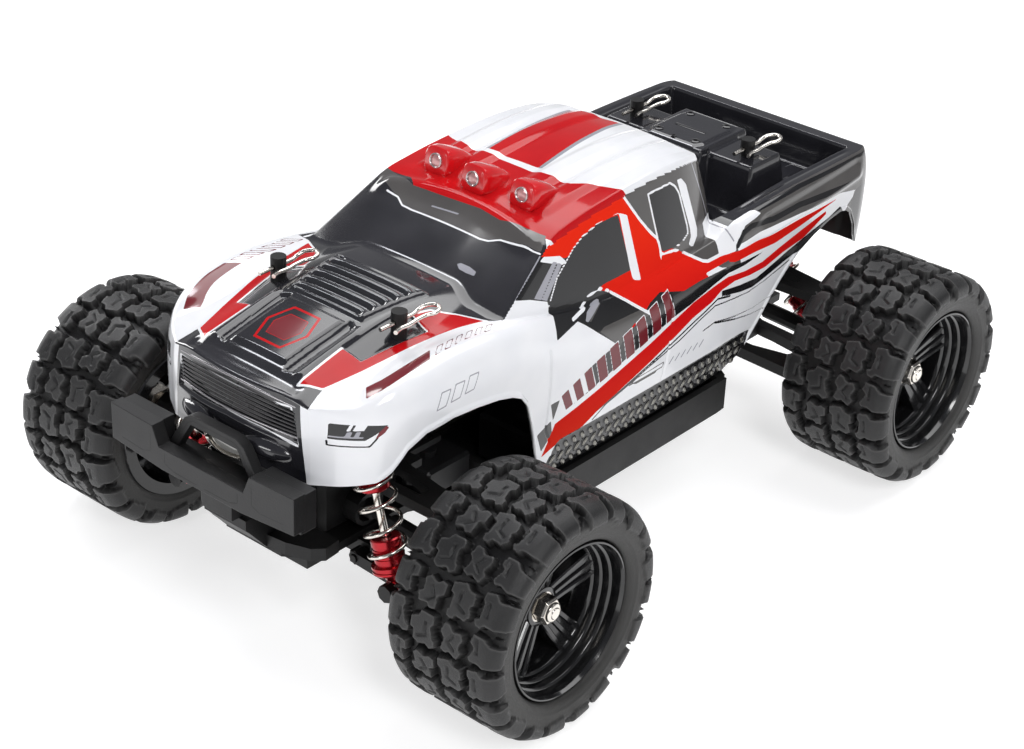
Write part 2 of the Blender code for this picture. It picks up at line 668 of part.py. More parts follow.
def build_speed_controller():
    piece("speed_controller", "esc_case", bevelled(box(8.5, 42.6, -36, 8.5, 27.0, 44.0), 1.2),
          [box(13, 17, 8.0, 10.4, 36, 40), box(20, 38, -30, -4, 43.5, 46.0)])


def build_servo():
    piece("steering_servo", "esc_case", bevelled(box(7.6, 22.5, -74.6, -54.5, 33.4, 43.4), 1.0),
          [rod_z(SERVO_X, SERVO_Y, 42, 45.4, 3.2, 10)])


def build_steering_link():
    """Cross bar between the tie rods, with an arm back to the servo."""
    y, z = STEER_ARM_Y, STEER_Z + 2.0
    bar = bevelled(box(-18.8, 18.8, y - 2.0, y + 2.0, z + 1.8, z + 4.6), 0.6)
    ends = [box(side * STEER_IN_X - 2.6, side * STEER_IN_X + 2.6, y - 2.4, y + 2.4,
                z + 2.2, z + 4.8) for side in (RIGHT, LEFT)]
    arm = box(10.6, 16.4, y + 1.5, -62.5, z + 1.8, z + 3.8)
    piece("steering_link", "black_nylon", bar, [*ends, arm],
          [rod_z(SERVO_X, SERVO_Y, 46.5, 50.5, 1.8, 10)])


build_driveshaft()
build_motor()
build_battery()
build_speed_controller()
build_servo()
build_steering_link()

# ----------------------------------------------------------------- body clips
# (x, y, z) from the hole: straight leg through the post, eye behind it, wavy leg alongside
CLIP_PATH = [(0, -8.0, 0), (0, 6.0, 0), (0, 8.2, 0.6), (1.0, 10.4, 1.6), (3.2, 12.2, 2.0),
             (5.6, 11.4, 2.0), (6.2, 9.0, 1.6), (4.6, 6.6, 1.0), (4.1, 3.0, 0.6),
             (4.3, 0, 0.4), (4.1, -3.6, 0.4), (5.2, -7.0, 0.6)]


def build_clip(name, side, end):
    """R-clip; all four point the same way, so the right ones aren't mirrored."""
    post = POSTS[end]
    hole = Vector((side * post["x"], post["y"], post["top"] - CLIP_DROP))
    path = [hole + Vector(step) for step in CLIP_PATH]
    piece(name, "steel", tube(path, 0.7, 4), origin=hole, smooth=60)


for clip_side, side_name in ((LEFT, "left"), (RIGHT, "right")):
    build_clip("front_%s_body_clip" % side_name, clip_side, FRONT)
    build_clip("rear_%s_body_clip" % side_name, clip_side, REAR)

# ----------------------------------------------------------------- suspension
# (x, distance from the axle towards the end of the truck)
LOWER_ARM_PLAN = [(20.2, -ARM_WIDE), (25.0, -ARM_WIDE), (49.0, -13.4), (57.0, -7.4),
                  (61.2, -7.4), (61.2, -3.4), (56.8, -3.4), (56.8, 3.4), (61.2, 3.4),
                  (61.2, 7.4), (55.0, ARM_NARROW), (20.2, ARM_NARROW), (20.2, 4.5),
                  (25.6, 4.5), (31.0, 4.5), (44.0, 3.4), (44.0, -4.6), (31.0, -9.0),
                  (25.6, -9.4), (20.2, -9.4)]
UPPER_ARM_PLAN = [(20.2, -8.6), (24.6, -8.6), (56.0, -4.6), (61.2, -4.6), (61.2, -2.2),
                  (56.6, -2.2), (56.6, 2.2), (61.2, 2.2), (61.2, 4.6), (56.0, 4.6),
                  (26.0, 6.4), (20.2, 6.4), (20.2, 2.5), (26.0, 2.5), (32.0, 2.0),
                  (42.0, 1.6), (42.0, -2.6), (32.0, -4.4), (25.4, -4.8), (20.2, -4.8)]
# (along, radius) from the kingpin outwards
BEARING_RING = [(4.4, 8.2), (10.6, 8.2), (10.6, 4.0), (4.4, 4.0)]
AXLE_PROFILE = [(3.2, 0.0), (3.2, 3.0), (-1.6, 3.0), (-1.6, 4.2), (11.2, 4.2), (11.2, 2.3),
                (34.6, 2.3), (34.6, 0.0)]
HEXAGON_PROFILE = [(15.0, 0.0), (15.0, 6.4), (19.7, 6.4), (19.7, 0.0)]
NUT_PROFILE = [(30.4, 0.0), (30.4, 4.4), (31.2, 4.6), (33.4, 4.2), (33.8, 3.8), (33.8, 0.0)]
# (along, radius) about the joint centre
INNER_BALL = [(-2.4, 0.0), (-1.4, 2.5), (1.4, 2.5), (2.4, 0.0)]
OUTER_BALL = [(-2.2, 0.0), (-1.1, 2.2), (1.1, 2.2), (2.2, 0.0)]
TIE_INNER_END = [(-1.6, 0.0), (-1.6, 2.6), (1.6, 2.6), (1.6, 0.0)]
TIE_OUTER_END = [(1.8, 0.0), (1.8, 2.3), (4.6, 2.3), (4.6, 0.0)]


def wishbone(plan, end, inner_z, half_thickness):
    """A plate of the given plan that falls towards the wheel."""
    arm = prism([(x, AXLE_Y[end] + end * dy) for x, dy in plan], "Z", 0, 1)
    for v in arm.verts:
        middle = inner_z - (v.co.x - ARM_IN_X) * ARM_FALL / ARM_SPAN
        v.co.z = middle + (half_thickness if v.co.z > 0.5 else -half_thickness)
    return arm


def build_lower_arm(tag, side, end):
    y = AXLE_Y[end]
    shock_y = y + end * SHOCKS[end]["offset"]
    low_x, low_z = SHOCKS[end]["low"]
    lug = box(low_x - 3.0, low_x + 3.0, y + end * 7.4, shock_y - end * 2.4, 25.2, 33.0)
    knobs = [rod_y(ARM_IN_X, y - end * 14.0, y - end * 9.6, LOWER_IN_Z, 2.5, 8),
             rod_y(ARM_IN_X, y + end * 4.7, y + end * 8.6, LOWER_IN_Z, 2.5, 8)]
    pin = rod_y(low_x, shock_y - end * 3.4, shock_y + end * 3.0, low_z, 1.2, 8)
    pin_head = rod_y(low_x, shock_y + end * 2.3, shock_y + end * 5.2, low_z, 2.9, 8)
    bores = [rod_y(ARM_IN_X, y - 18, y + 18, LOWER_IN_Z, 1.55, 8),
             rod_y(ARM_OUT_X, y - 12, y + 12, LOWER_OUT_Z, 1.3, 8)]
    piece("%s_lower_arm" % tag, "black_nylon", wishbone(LOWER_ARM_PLAN, end, LOWER_IN_Z, 2.0),
          [lug, *knobs, pin, pin_head], bores, (ARM_IN_X, y, LOWER_IN_Z), side)


def build_upper_arm(tag, side, end):
    y = AXLE_Y[end]
    bores = [rod_y(ARM_IN_X, y - 12, y + 12, UPPER_IN_Z, 1.4, 8),
             rod_y(ARM_OUT_X, y - 8, y + 8, UPPER_OUT_Z, 1.2, 8)]
    piece("%s_upper_arm" % tag, "black_nylon", wishbone(UPPER_ARM_PLAN, end, UPPER_IN_Z, 1.7),
          [], bores, (ARM_IN_X, y, UPPER_IN_Z), side)


def outer_hinge_pins(y):
    """Pins on which the outer ends of both arms turn."""
    return [rod_y(KING_X, y - 7.2, y + 7.2, LOWER_OUT_Z, 1.0, 8),
            rod_y(KING_X, y - 4.6, y + 4.6, UPPER_OUT_Z, 0.9, 8)]


def build_caster_block(tag, side):
    """C-shaped carrier between the two front arms."""
    x, y, low, high = KING_X, Y_F, LOWER_OUT_Z, UPPER_OUT_Z
    web = prism([(x - 3.6, low + 3.3), (x + 2.6, low + 3.3), (x + 2.6, low + 4.4),
                 (x - 5.6, low + 4.4), (x - 5.6, high - 5.2), (x + 2.6, high - 5.2),
                 (x + 2.6, high - 2.9), (x - 3.6, high - 2.9), (x - 8.6, high - 5.4),
                 (x - 8.6, low + 6.0)], "Y", y - 6.6, y + 6.6)
    lugs = [box(x - 2.4, x + 2.4, y - 3.0, y + 3.0, low - 2.0, low + 4.0),
            box(x - 2.4, x + 2.4, y - 1.8, y + 1.8, high - 5.0, high + 1.8)]
    kingpins = [rod_z(x, y, low + 3.5, low + 6.0, 1.2, 8),
                rod_z(x, y, high - 7.0, high - 4.0, 1.2, 8)]
    shaft_hole = rod_x(x - 12, x + 4, y, SHAFT_OUT_Z, 5.4, 14)
    piece("%s_caster_block" % tag, "black_nylon", web, [*lugs, *outer_hinge_pins(y), *kingpins],
          [shaft_hole], (x, y, low), side)


def build_knuckle(tag, side):
    """Front knuckle with its steering arm; turns about the kingpin."""
    x, y = KING_X, Y_F
    yoke = [box(x - 2.8, x + 5.6, y - 4.6, y + 4.6, LOWER_OUT_Z + 4.7, AXLE_Z - 5.2),
            box(x - 2.8, x + 5.6, y - 4.6, y + 4.6, AXLE_Z + 5.2, UPPER_OUT_Z - 5.5)]
    steering_arm = prism([(x + 4.6, y + 4.8), (x + 8.6, y + 4.8), (x + 1.6, STEER_ARM_Y - 0.6),
                          (x, STEER_ARM_Y + 2.0), (x - 3.8, STEER_ARM_Y + 2.0),
                          (x - 4.4, STEER_ARM_Y - 1.6), (x + 1.0, y + 10.0)],
                         "Z", AXLE_Z + 1.4, AXLE_Z + 4.0)
    bores = [rod_x(x - 6, x + 14, y, AXLE_Z, 4.6, 14),
             rod_z(x, y, LOWER_OUT_Z + 4, LOWER_OUT_Z + 6.4, 1.6, 8),
             rod_z(x, y, UPPER_OUT_Z - 7.4, UPPER_OUT_Z - 5, 1.6, 8)]
    piece("%s_steering_knuckle" % tag, "black_nylon",
          lathe(BEARING_RING, (x, y, AXLE_Z), "X", 14), [*yoke, steering_arm], bores,
          (x, y, AXLE_Z), side)


def build_hub_carrier(tag, side):
    """Rear carrier, narrowed at the top to fit between the prongs of the upper arm."""
    x, y, low, high = KING_X, Y_R, LOWER_OUT_Z, UPPER_OUT_Z
    web = prism([(x - 2.4, low - 2.0), (x + 2.4, low - 2.0), (x + 5.6, low + 5.0),
                 (x + 5.6, high - 4.5), (x + 2.4, high + 1.8), (x - 2.4, high + 1.8)],
                "Y", y - 3.0, y + 3.0)
    cheek = box(x - 1.0, x + 6.2, y - 8.0, y + 8.0, AXLE_Z - 6.0, AXLE_Z + 6.0)
    ring = lathe(BEARING_RING, (x, y, AXLE_Z), "X", 14)
    bore = rod_x(x - 8, x + 14, y, AXLE_Z, 4.7, 14)
    narrowing = [box(x - 6, x + 8, y0, y1, high - 3.2, high + 4)
                 for y0, y1 in ((y - 4, y - 1.8), (y + 1.8, y + 4))]
    ob = piece("%s_hub_carrier" % tag, "black_nylon", web, [cheek, ring], [bore, *narrowing],
               (x, y, low), side)
    # the pins cross the narrowed part, so they are joined after the cuts
    boolean(ob, outer_hinge_pins(y), "UNION", side)


def build_wheel_axle(tag, side, end):
    """Stub axle with its drive cup, hexagon and nut."""
    centre = (KING_X, AXLE_Y[end], AXLE_Z)
    piece("%s_wheel_axle" % tag, "steel", lathe(AXLE_PROFILE, centre, "X", 12),
          [lathe(HEXAGON_PROFILE, centre, "X", 6), lathe(NUT_PROFILE, centre, "X", 6)],
          origin=centre, side=side)


def build_half_shaft(tag, side, end):
    inner = Vector((ARM_IN_X, AXLE_Y[end], SHAFT_IN_Z))
    outer = Vector((KING_X, AXLE_Y[end], SHAFT_OUT_Z))
    shaft = rod(inner + Vector((-2.4, 0, 0.1)), outer + Vector((0.4, 0, 0)), 1.6, 8)
    sleeve = rod(inner + (outer - inner) * 0.2, inner + (outer - inner) * 0.7, 3.0, 10)
    balls = [lathe(INNER_BALL, inner + Vector((-1.6, 0, 0)), "X", 8),
             lathe(OUTER_BALL, outer, "X", 8)]
    piece("%s_half_shaft" % tag, "black_nylon", shaft, [sleeve, *balls], origin=inner, side=side)


def build_tie_rod(tag, side):
    """Runs from the steering link to the knuckle, as long as the arms."""
    inner = Vector((STEER_IN_X, STEER_ARM_Y, STEER_Z))
    outer = inner + Vector((ARM_SPAN, 0, -ARM_FALL))
    bar = tube([inner + Vector((1.5, 0, 0)), outer + Vector((-1.0, 0, 3.2))], 1.3, 8)
    piece("%s_tie_rod" % tag, "black_nylon", bar,
          [lathe(TIE_INNER_END, inner, "Z", 10), lathe(TIE_OUTER_END, outer, "Z", 10)],
          origin=inner, side=side)


# --------------------------------------------------------------------- wheels
RIM_R = 25.0               # bead seat radius
RIM_BORE = 22.5            # inside of the barrel
RIM_SEGMENTS = 24
SPOKES = 5
HALF_TYRE = TYRE_W / 2
# (along, radius) from the wheel centre plane outwards
BARREL_PROFILE = [(-19.6, RIM_BORE), (-19.6, 26.6), (-17.6, RIM_R), (15.6, RIM_R),
                  (16.8, 26.8), (18.8, 26.8), (18.8, 23.4), (11.0, 20.6), (3.0, 20.6),
                  (2.0, RIM_BORE)]
BOSS_PROFILE = [(-1.9, 2.7), (-1.9, 6.6), (8.0, 6.0), (8.0, 2.7)]
TYRE_PROFILE = [(-HALF_TYRE + 1.6, 27.2), (-HALF_TYRE, 32.0), (-HALF_TYRE + 1.6, 36.0),
                (-HALF_TYRE + 5.5, TYRE_R), (HALF_TYRE - 5.5, TYRE_R), (HALF_TYRE - 1.6, 36.0),
                (HALF_TYRE, 32.0), (HALF_TYRE - 1.4, 27.2), (15.6, 27.2),
                (14.6, RIM_R + 0.3), (-16.2, RIM_R + 0.3), (-18.4, 27.2)]
# (radius, offset to the side) of a spoke seen from outside
SPOKE_FACE = [(4.2, -3.0), (21.4, -2.7), (21.4, 2.7), (4.2, 3.0)]
# how far the inner and outer faces of a spoke stand out, at the root and at the tip
SPOKE_ROOT_X = (2.2, 7.0)
SPOKE_TIP_X = (4.6, 9.0)


def spoke(centre, angle):
    bm = prism(SPOKE_FACE, "X", 0, 1)
    sin, cos = math.sin(angle), math.cos(angle)
    for v in bm.verts:
        face, radius, aside = v.co
        along = (SPOKE_ROOT_X if radius < 10 else SPOKE_TIP_X)[face > 0.5]
        v.co = Vector((centre[0] + along, centre[1] + radius * cos - aside * sin,
                       centre[2] + radius * sin + aside * cos))
    return bm


def build_wheel(tag, side, end):
    centre = (HALF_TRACK, AXLE_Y[end], AXLE_Z)
    boss = lathe(BOSS_PROFILE, centre, "X", 10)
    spokes = [spoke(centre, math.radians(90 + 360 / SPOKES * k)) for k in range(SPOKES)]
    piece("%s_rim" % tag, "gloss_black", lathe(BARREL_PROFILE, centre, "X", RIM_SEGMENTS),
          [boss, *spokes], origin=centre, side=side)
    piece("%s_tyre" % tag, "tyre_rubber", lathe(TYRE_PROFILE, centre, "X", RIM_SEGMENTS),
          origin=centre, side=side, smooth=40)


# --------------------------------------------------------------------- shocks
# (along, radius) from the lower eye upwards
SHOCK_BODY = [(2.3, 0.0), (2.3, 1.9), (5.2, 3.0), (6.4, 6.0), (8.4, 6.0), (8.4, 4.7),
              (17.0, 4.7), (17.0, 2.1), (5.0, 2.1), (5.0, 0.0)]
# (along, radius) of the cap, from the upper eye; negative is downwards
SHOCK_CAP = [(-11.6, 1.3), (-11.6, 4.7), (-6.0, 4.7), (-6.0, 6.0), (-3.4, 6.0), (-2.3, 2.4),
             (-2.3, 0.0)]
ROD_R = 1.3
ROD_START = 11.6           # lower end of the rod above the lower eye
COIL_R = 5.95
WIRE_R = 0.62
COIL_START, COIL_STOP = 9.35, 6.95   # from the lower eye, and short of the upper one
COIL_TURNS = 4
COIL_STEPS = 8             # per turn


def shock_part(name, side, profile, eye, direction):
    """A turned part with the eye that it hangs on."""
    ring = rod_y(eye.x, eye.y - 1.9, eye.y + 1.9, eye.z, 3.1, 10)
    hole = rod_y(eye.x, eye.y - 3, eye.y + 3, eye.z, 1.65, 8)
    piece(name, "red_metal", lathe(profile, eye, direction, 10), [ring], [hole], eye, side)


def build_shock(tag, side, end):
    """Coil-over shock: body on the arm, rod and cap on the tower, spring between."""
    shock = SHOCKS[end]
    y = AXLE_Y[end] + end * shock["offset"]
    low = Vector((shock["low"][0], y, shock["low"][1]))
    top = Vector((shock["top"][0], y, shock["top"][1]))
    length = (top - low).length
    up = (top - low).normalized()
    shock_part("%s_shock_body" % tag, side, SHOCK_BODY, low, up)
    rod_end = ROD_START - length
    shock_part("%s_shock_rod" % tag, side, [(rod_end, 0.0), (rod_end, ROD_R), *SHOCK_CAP],
               top, up)

    u = Vector((0, 1, 0))
    w = up.cross(u)
    steps = COIL_TURNS * COIL_STEPS
    path = []
    for i in range(steps + 1):
        t = i / steps
        # the coil climbs a little more slowly near both ends
        rise = t - 0.028 * math.sin(2 * math.pi * t)
        angle = 2 * math.pi * COIL_TURNS * t
        along = COIL_START + (length - COIL_STOP - COIL_START) * rise
        path.append(low + up * along + (u * math.cos(angle) + w * math.sin(angle)) * COIL_R)
    piece("%s_shock_spring" % tag, "steel", tube(path, WIRE_R, 4), origin=low, side=side,
          smooth=60)


# ----------------------------------------------------------------- four corners
def build_corner(tag, side, end):
    build_lower_arm(tag, side, end)
    build_upper_arm(tag, side, end)
    if end == FRONT:
        build_caster_block(tag, side)
        build_knuckle(tag, side)
    else:
        build_hub_carrier(tag, side)
    build_wheel_axle(tag, side, end)
    build_half_shaft(tag, side, end)
    build_wheel(tag, side, end)
    build_shock(tag, side, end)
    if end == FRONT:
        build_tie_rod(tag, side)


build_corner("front_left", LEFT, FRONT)
build_corner("front_right", RIGHT, FRONT)
build_corner("rear_left", LEFT, REAR)
build_corner("rear_right", RIGHT, REAR)
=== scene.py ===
"""Looks of a remote control monster truck, built over its CAD frame.

Sizes are in millimetres and become metres as meshes are made. The truck faces -Y, its left side
is +X and the ground is z = 0. Here y = 0 is midway between the axles; MID_Y moves that point to
its place in the frame.
"""
import math

import bmesh
import bpy
import numpy as np
from mathutils import Matrix, Vector


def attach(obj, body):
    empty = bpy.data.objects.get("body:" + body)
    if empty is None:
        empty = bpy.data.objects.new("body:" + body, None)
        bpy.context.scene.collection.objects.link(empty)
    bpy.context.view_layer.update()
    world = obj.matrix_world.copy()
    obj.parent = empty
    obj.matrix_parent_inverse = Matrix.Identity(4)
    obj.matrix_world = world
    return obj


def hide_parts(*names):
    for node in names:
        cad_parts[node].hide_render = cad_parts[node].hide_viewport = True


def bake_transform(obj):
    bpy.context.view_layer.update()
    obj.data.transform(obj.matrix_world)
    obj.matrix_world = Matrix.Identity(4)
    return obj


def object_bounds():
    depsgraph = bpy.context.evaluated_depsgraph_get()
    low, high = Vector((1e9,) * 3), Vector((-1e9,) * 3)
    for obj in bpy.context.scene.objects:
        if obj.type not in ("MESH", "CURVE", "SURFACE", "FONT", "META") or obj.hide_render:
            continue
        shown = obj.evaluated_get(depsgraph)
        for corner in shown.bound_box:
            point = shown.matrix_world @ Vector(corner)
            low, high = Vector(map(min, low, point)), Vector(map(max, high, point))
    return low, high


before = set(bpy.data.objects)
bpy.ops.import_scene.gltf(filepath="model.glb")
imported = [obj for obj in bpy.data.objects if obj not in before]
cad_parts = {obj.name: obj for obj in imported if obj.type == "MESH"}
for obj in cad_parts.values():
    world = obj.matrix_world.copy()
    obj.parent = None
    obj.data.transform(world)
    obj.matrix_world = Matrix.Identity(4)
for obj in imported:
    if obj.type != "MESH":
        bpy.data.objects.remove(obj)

# ---------------------------------------------------------------- dimensions
MM = 0.001
BUMPER_FRONT_Y = -149.0
FRAME_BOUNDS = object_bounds()
MID_Y = round(FRAME_BOUNDS[0][1] * 1000 - BUMPER_FRONT_Y, 3)

WHEEL_X, AXLE_Y, AXLE_Z = 82.0, 98.5, 38.0    # wheel centre, front axle at -AXLE_Y
KNUCKLE_X = 60.0                              # inner reference point of the wheel axles
RIM_R, RIM_BORE = 25.0, 22.5
# Shock absorbers, by whether they are at the front: distance from the axle along y, (x, z) of eyes
SHOCKS = {True: {"dy": 15.5, "low": (46.0, 31.5), "top": (33.5, 73.5)},
          False: {"dy": 14.0, "low": (46.0, 31.0), "top": (17.5, 57.0)}}
# Body posts: x, y and top z
POSTS = {"front": (25.3, -92.4, 108.8), "rear": (24.3, 83.8, 109.6)}
CLIP_DROP = 3.3                               # body clips below the post tops
LAMPS = ((-18.0, -29.8, 123.0), (0.0, -32.4, 123.4), (18.0, -29.8, 123.0))

# Name, sign of x, axle y, at the front
CORNERS = [("front_left", 1, -AXLE_Y, True), ("front_right", -1, -AXLE_Y, True),
           ("rear_left", 1, AXLE_Y, False), ("rear_right", -1, AXLE_Y, False)]


def outlines(text):
    """Lists of 2D points from "a b, a b, ...", with ";" between one outline and the next."""
    return [[tuple(map(float, point.split())) for point in part.split(",")]
            for part in text.split(";")]


def outline(text):
    return outlines(text)[0]


# ================================================================= materials
class Nodes:
    """Short ways to add and wire the shader nodes of a material or world."""

    def __init__(self, data):
        data.use_nodes = True
        self.tree = data.node_tree

    def feed(self, socket, value):
        """Gives a socket a number, an RGB colour or a link."""
        if isinstance(value, tuple):
            socket.default_value = (*value, 1.0)
        elif isinstance(value, (int, float)):
            socket.default_value = value
        else:
            self.tree.links.new(value, socket)

    def add(self, kind, inputs=None, **settings):
        node = self.tree.nodes.new(kind)
        for name, value in settings.items():
            setattr(node, name, value)
        for key, value in (inputs or {}).items():
            self.feed(node.inputs[key], value)
        return node

    def ramp(self, factor, stops):
        node = self.add("ShaderNodeValToRGB", {"Fac": factor})
        elements = node.color_ramp.elements
        while len(elements) < len(stops):
            elements.new(0.5)
        for element, (position, colour) in zip(elements, stops):
            element.position = position
            element.color = (*colour, 1.0)
        return node.outputs["Color"]


class Material(Nodes):
    def __init__(self, name):
        self.material = bpy.data.materials.new(name)
        super().__init__(self.material)
        self.shader = self.tree.nodes["Principled BSDF"]
        self.coords = self.add("ShaderNodeTexCoord").outputs["Object"]

    def noise(self, scale, detail=3.0, rough=0.55):
        return self.add("ShaderNodeTexNoise", {"Scale": scale, "Detail": detail,
                                               "Roughness": rough,
                                               "Vector": self.coords}).outputs["Fac"]

    def vary(self, noise, low, high):
        """A colour that moves between two with a noise."""
        return self.ramp(noise, [(0.3, low), (0.7, high)])

    def remap(self, factor, low, high, from_min=0.3, from_max=0.7):
        return self.add("ShaderNodeMapRange", {"From Min": from_min, "From Max": from_max,
                                               "To Min": low, "To Max": high,
                                               "Value": factor}).outputs["Result"]

    def mix(self, factor, under, over):
        return self.add("ShaderNodeMix", {0: factor, 6: under, 7: over},
                        data_type="RGBA").outputs[2]

    def math(self, operation, first, second):
        return self.add("ShaderNodeMath", {0: first, 1: second}, operation=operation).outputs[0]

    def attribute(self, name):
        return self.add("ShaderNodeAttribute", attribute_name=name).outputs["Fac"]

    def bump(self, height, strength, distance):
        node = self.add("ShaderNodeBump", {"Strength": strength, "Distance": distance,
                                           "Height": height})
        self.feed(self.shader.inputs["Normal"], node.outputs["Normal"])

    def set(self, colour, rough, metal, coat=None, spec=None):
        for name, value in (("Base Color", colour), ("Roughness", rough), ("Metallic", metal),
                            ("Coat Weight", coat), ("Specular IOR Level", spec)):
            if value is not None:
                self.feed(self.shader.inputs[name], value)


COLOUR_VARY = 0.12      # share by which the colour of a plain finish varies each way


def plain(name, colour, rough, metal=0.0, coat=0.0, spec=None,
          grain=900.0, bump=0.08, rough_vary=0.06):
    """A moulded, machined or painted finish whose colour, gloss and surface vary a little."""
    mat = Material(name)
    broad = mat.noise(grain * 0.06)
    low = tuple(c * (1 - COLOUR_VARY) for c in colour)
    high = tuple(min(1.0, c * (1 + COLOUR_VARY)) for c in colour)
    mat.set(mat.vary(broad, low, high), mat.remap(broad, rough - rough_vary, rough + rough_vary),
            metal, coat, spec)
    if bump:
        mat.bump(mat.noise(grain, detail=4.0), bump, distance=0.0002)
    return mat.material


NYLON = plain("black_nylon", (0.0085, 0.0084, 0.0086), rough=0.45, bump=0.25, grain=1600, spec=0.3)
NYLON_GREY = plain("bumper_nylon", (0.0125, 0.0123, 0.0128), rough=0.42, bump=0.22, grain=1500,
                   spec=0.36)
GLOSS = plain("gloss_black", (0.010, 0.010, 0.011), rough=0.14, coat=0.6, bump=0, rough_vary=0.03)
STEEL = plain("bright_steel", (0.78, 0.74, 0.68), rough=0.20, metal=1.0, bump=0.05,
              rough_vary=0.05)
DARK_STEEL = plain("dark_steel", (0.22, 0.21, 0.20), rough=0.30, metal=1.0, bump=0.05)
RED_METAL = plain("red_metal", (0.42, 0.012, 0.020), rough=0.26, metal=0.85, coat=0.3, bump=0.03)
CAN = plain("motor_can", (0.55, 0.55, 0.56), rough=0.30, metal=1.0)
WRAP = plain("battery_wrap", (0.02, 0.04, 0.16), rough=0.35, coat=0.2)
CASE = plain("case_plastic", (0.012, 0.012, 0.013), rough=0.42, spec=0.3)
LENS_GLASS = plain("lamp_lens", (0.60, 0.30, 0.30), rough=0.12, metal=0.35, coat=1.0, bump=0)
LENS_RING = plain("lamp_ring", (0.55, 0.50, 0.50), rough=0.18, metal=0.8, bump=0)
RED_LAMP = plain("lamp_pod_red", (0.62, 0.008, 0.012), rough=0.16, coat=0.6, bump=0)
GRILLE_DARK = plain("grille_dark", (0.07, 0.068, 0.07), rough=0.28, metal=0.6, bump=0)
GRILLE_BRIGHT = plain("grille_bar", (0.34, 0.33, 0.34), rough=0.20, metal=0.9, bump=0)
RIM_BLACK = plain("rim_black", (0.006, 0.006, 0.0065), rough=0.16, coat=0.5, bump=0.02,
                  rough_vary=0.04)
# painted shade, for the dark inside grooves
PAINTED_GROOVE_SHADE = plain("painted_groove_shade", (0.006, 0.006, 0.006), rough=0.6, bump=0)
INNER = plain("shell_inside", (0.020, 0.020, 0.021), rough=0.40, bump=0)
FOG = plain("fog_lens", (0.42, 0.42, 0.40), rough=0.10, metal=0.2, coat=1.0, bump=0)


def tyre_material():
    """Rubber: painted shade between lugs, a painted highlight on their edges, paler side walls."""
    mat = Material("tyre_rubber")
    fine = mat.noise(2600, detail=5.0, rough=0.6)
    broad = mat.noise(90)
    # painted shade: the rubber between the lugs is coloured darker
    groove = mat.vary(broad, (0.0048, 0.0046, 0.0048), (0.0075, 0.0072, 0.0074))
    lug = mat.vary(broad, (0.011, 0.011, 0.0113), (0.019, 0.0187, 0.019))
    wall = mat.vary(broad, (0.020, 0.0195, 0.0185), (0.027, 0.0262, 0.0248))
    colour = mat.mix(mat.attribute("lug"), groove, lug)
    # painted highlight: paler rubber along the lugs' top edges
    colour = mat.mix(mat.math("MULTIPLY", mat.attribute("painted_lug_highlight"), 0.8), colour,
                     (0.062, 0.061, 0.060))
    colour = mat.mix(mat.attribute("wall"), colour, wall)
    mat.set(colour, mat.remap(fine, 0.30, 0.56), metal=0.0, spec=0.40)
    mat.bump(fine, strength=0.5, distance=0.0003)
    return mat.material


# ============================================================== mesh helpers
def new_object(name, data):
    obj = bpy.data.objects.new(name, data)
    bpy.context.scene.collection.objects.link(obj)
    return obj


def assign(obj, body, replaces):
    if body:
        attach(obj, body)
    if replaces:
        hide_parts(*replaces)


def round_edges(obj, width, angle, harden=False):
    bevel = obj.modifiers.new("edge", "BEVEL")
    bevel.width = width * MM
    bevel.segments = 2
    bevel.limit_method = "ANGLE"
    bevel.angle_limit = math.radians(angle)
    bevel.harden_normals = harden


def make(name, parts, materials, body, replaces=(), smooth=35, bevel=0.0):
    """Joins closed pieces into one object; a part is a piece or (piece, material number)."""
    joined = bmesh.new()
    for part in parts:
        piece, number = part if isinstance(part, tuple) else (part, 0)
        bmesh.ops.remove_doubles(piece, verts=piece.verts, dist=1e-4)
        bmesh.ops.recalc_face_normals(piece, faces=piece.faces)
        for face in piece.faces:
            face.material_index = number
        scratch = bpy.data.meshes.new("t")
        piece.to_mesh(scratch)
        piece.free()
        joined.from_mesh(scratch)
        bpy.data.meshes.remove(scratch)
    for vert in joined.verts:
        vert.co = (vert.co + Vector((0, MID_Y, 0))) * MM
    mesh = bpy.data.meshes.new(name)
    joined.to_mesh(mesh)
    joined.free()
    for material in materials:
        mesh.materials.append(material)
    mesh.shade_smooth()
    mesh.set_sharp_from_angle(angle=math.radians(smooth))
    obj = new_object(name, mesh)
    if bevel:
        round_edges(obj, bevel, angle=32, harden=True)
    assign(obj, body, replaces)
    return obj


def box(x0, x1, y0, y1, z0, z1):
    piece = bmesh.new()
    bmesh.ops.create_cube(piece, size=1.0)
    for vert in piece.verts:
        x, y, z = vert.co
        vert.co = (x0 if x < 0 else x1, y0 if y < 0 else y1, z0 if z < 0 else z1)
    return piece


def prism(points, axis, start, end):
    """An outline in (x, z) drawn along "Y", or in (x, y) along "Z"."""
    piece = bmesh.new()

    def ring(level):
        return [piece.verts.new((a, level, b) if axis == "Y" else (a, b, level))
                for a, b in points]

    low, high = ring(start), ring(end)
    piece.faces.new(low)
    piece.faces.new(high)
    for i in range(len(low)):
        j = (i + 1) % len(low)
        piece.faces.new((low[i], low[j], high[j], high[i]))
    return piece


def axes_of(axis):
    """The axis, given as a letter or a vector, and two directions across it."""
    units = [Vector((1, 0, 0)), Vector((0, 1, 0)), Vector((0, 0, 1))]
    if isinstance(axis, str):
        first = "XYZ".index(axis)
        return [units[(first + i) % 3] for i in range(3)]
    along = Vector(axis).normalized()
    across = along.orthogonal().normalized()
    return along, across, along.cross(across)


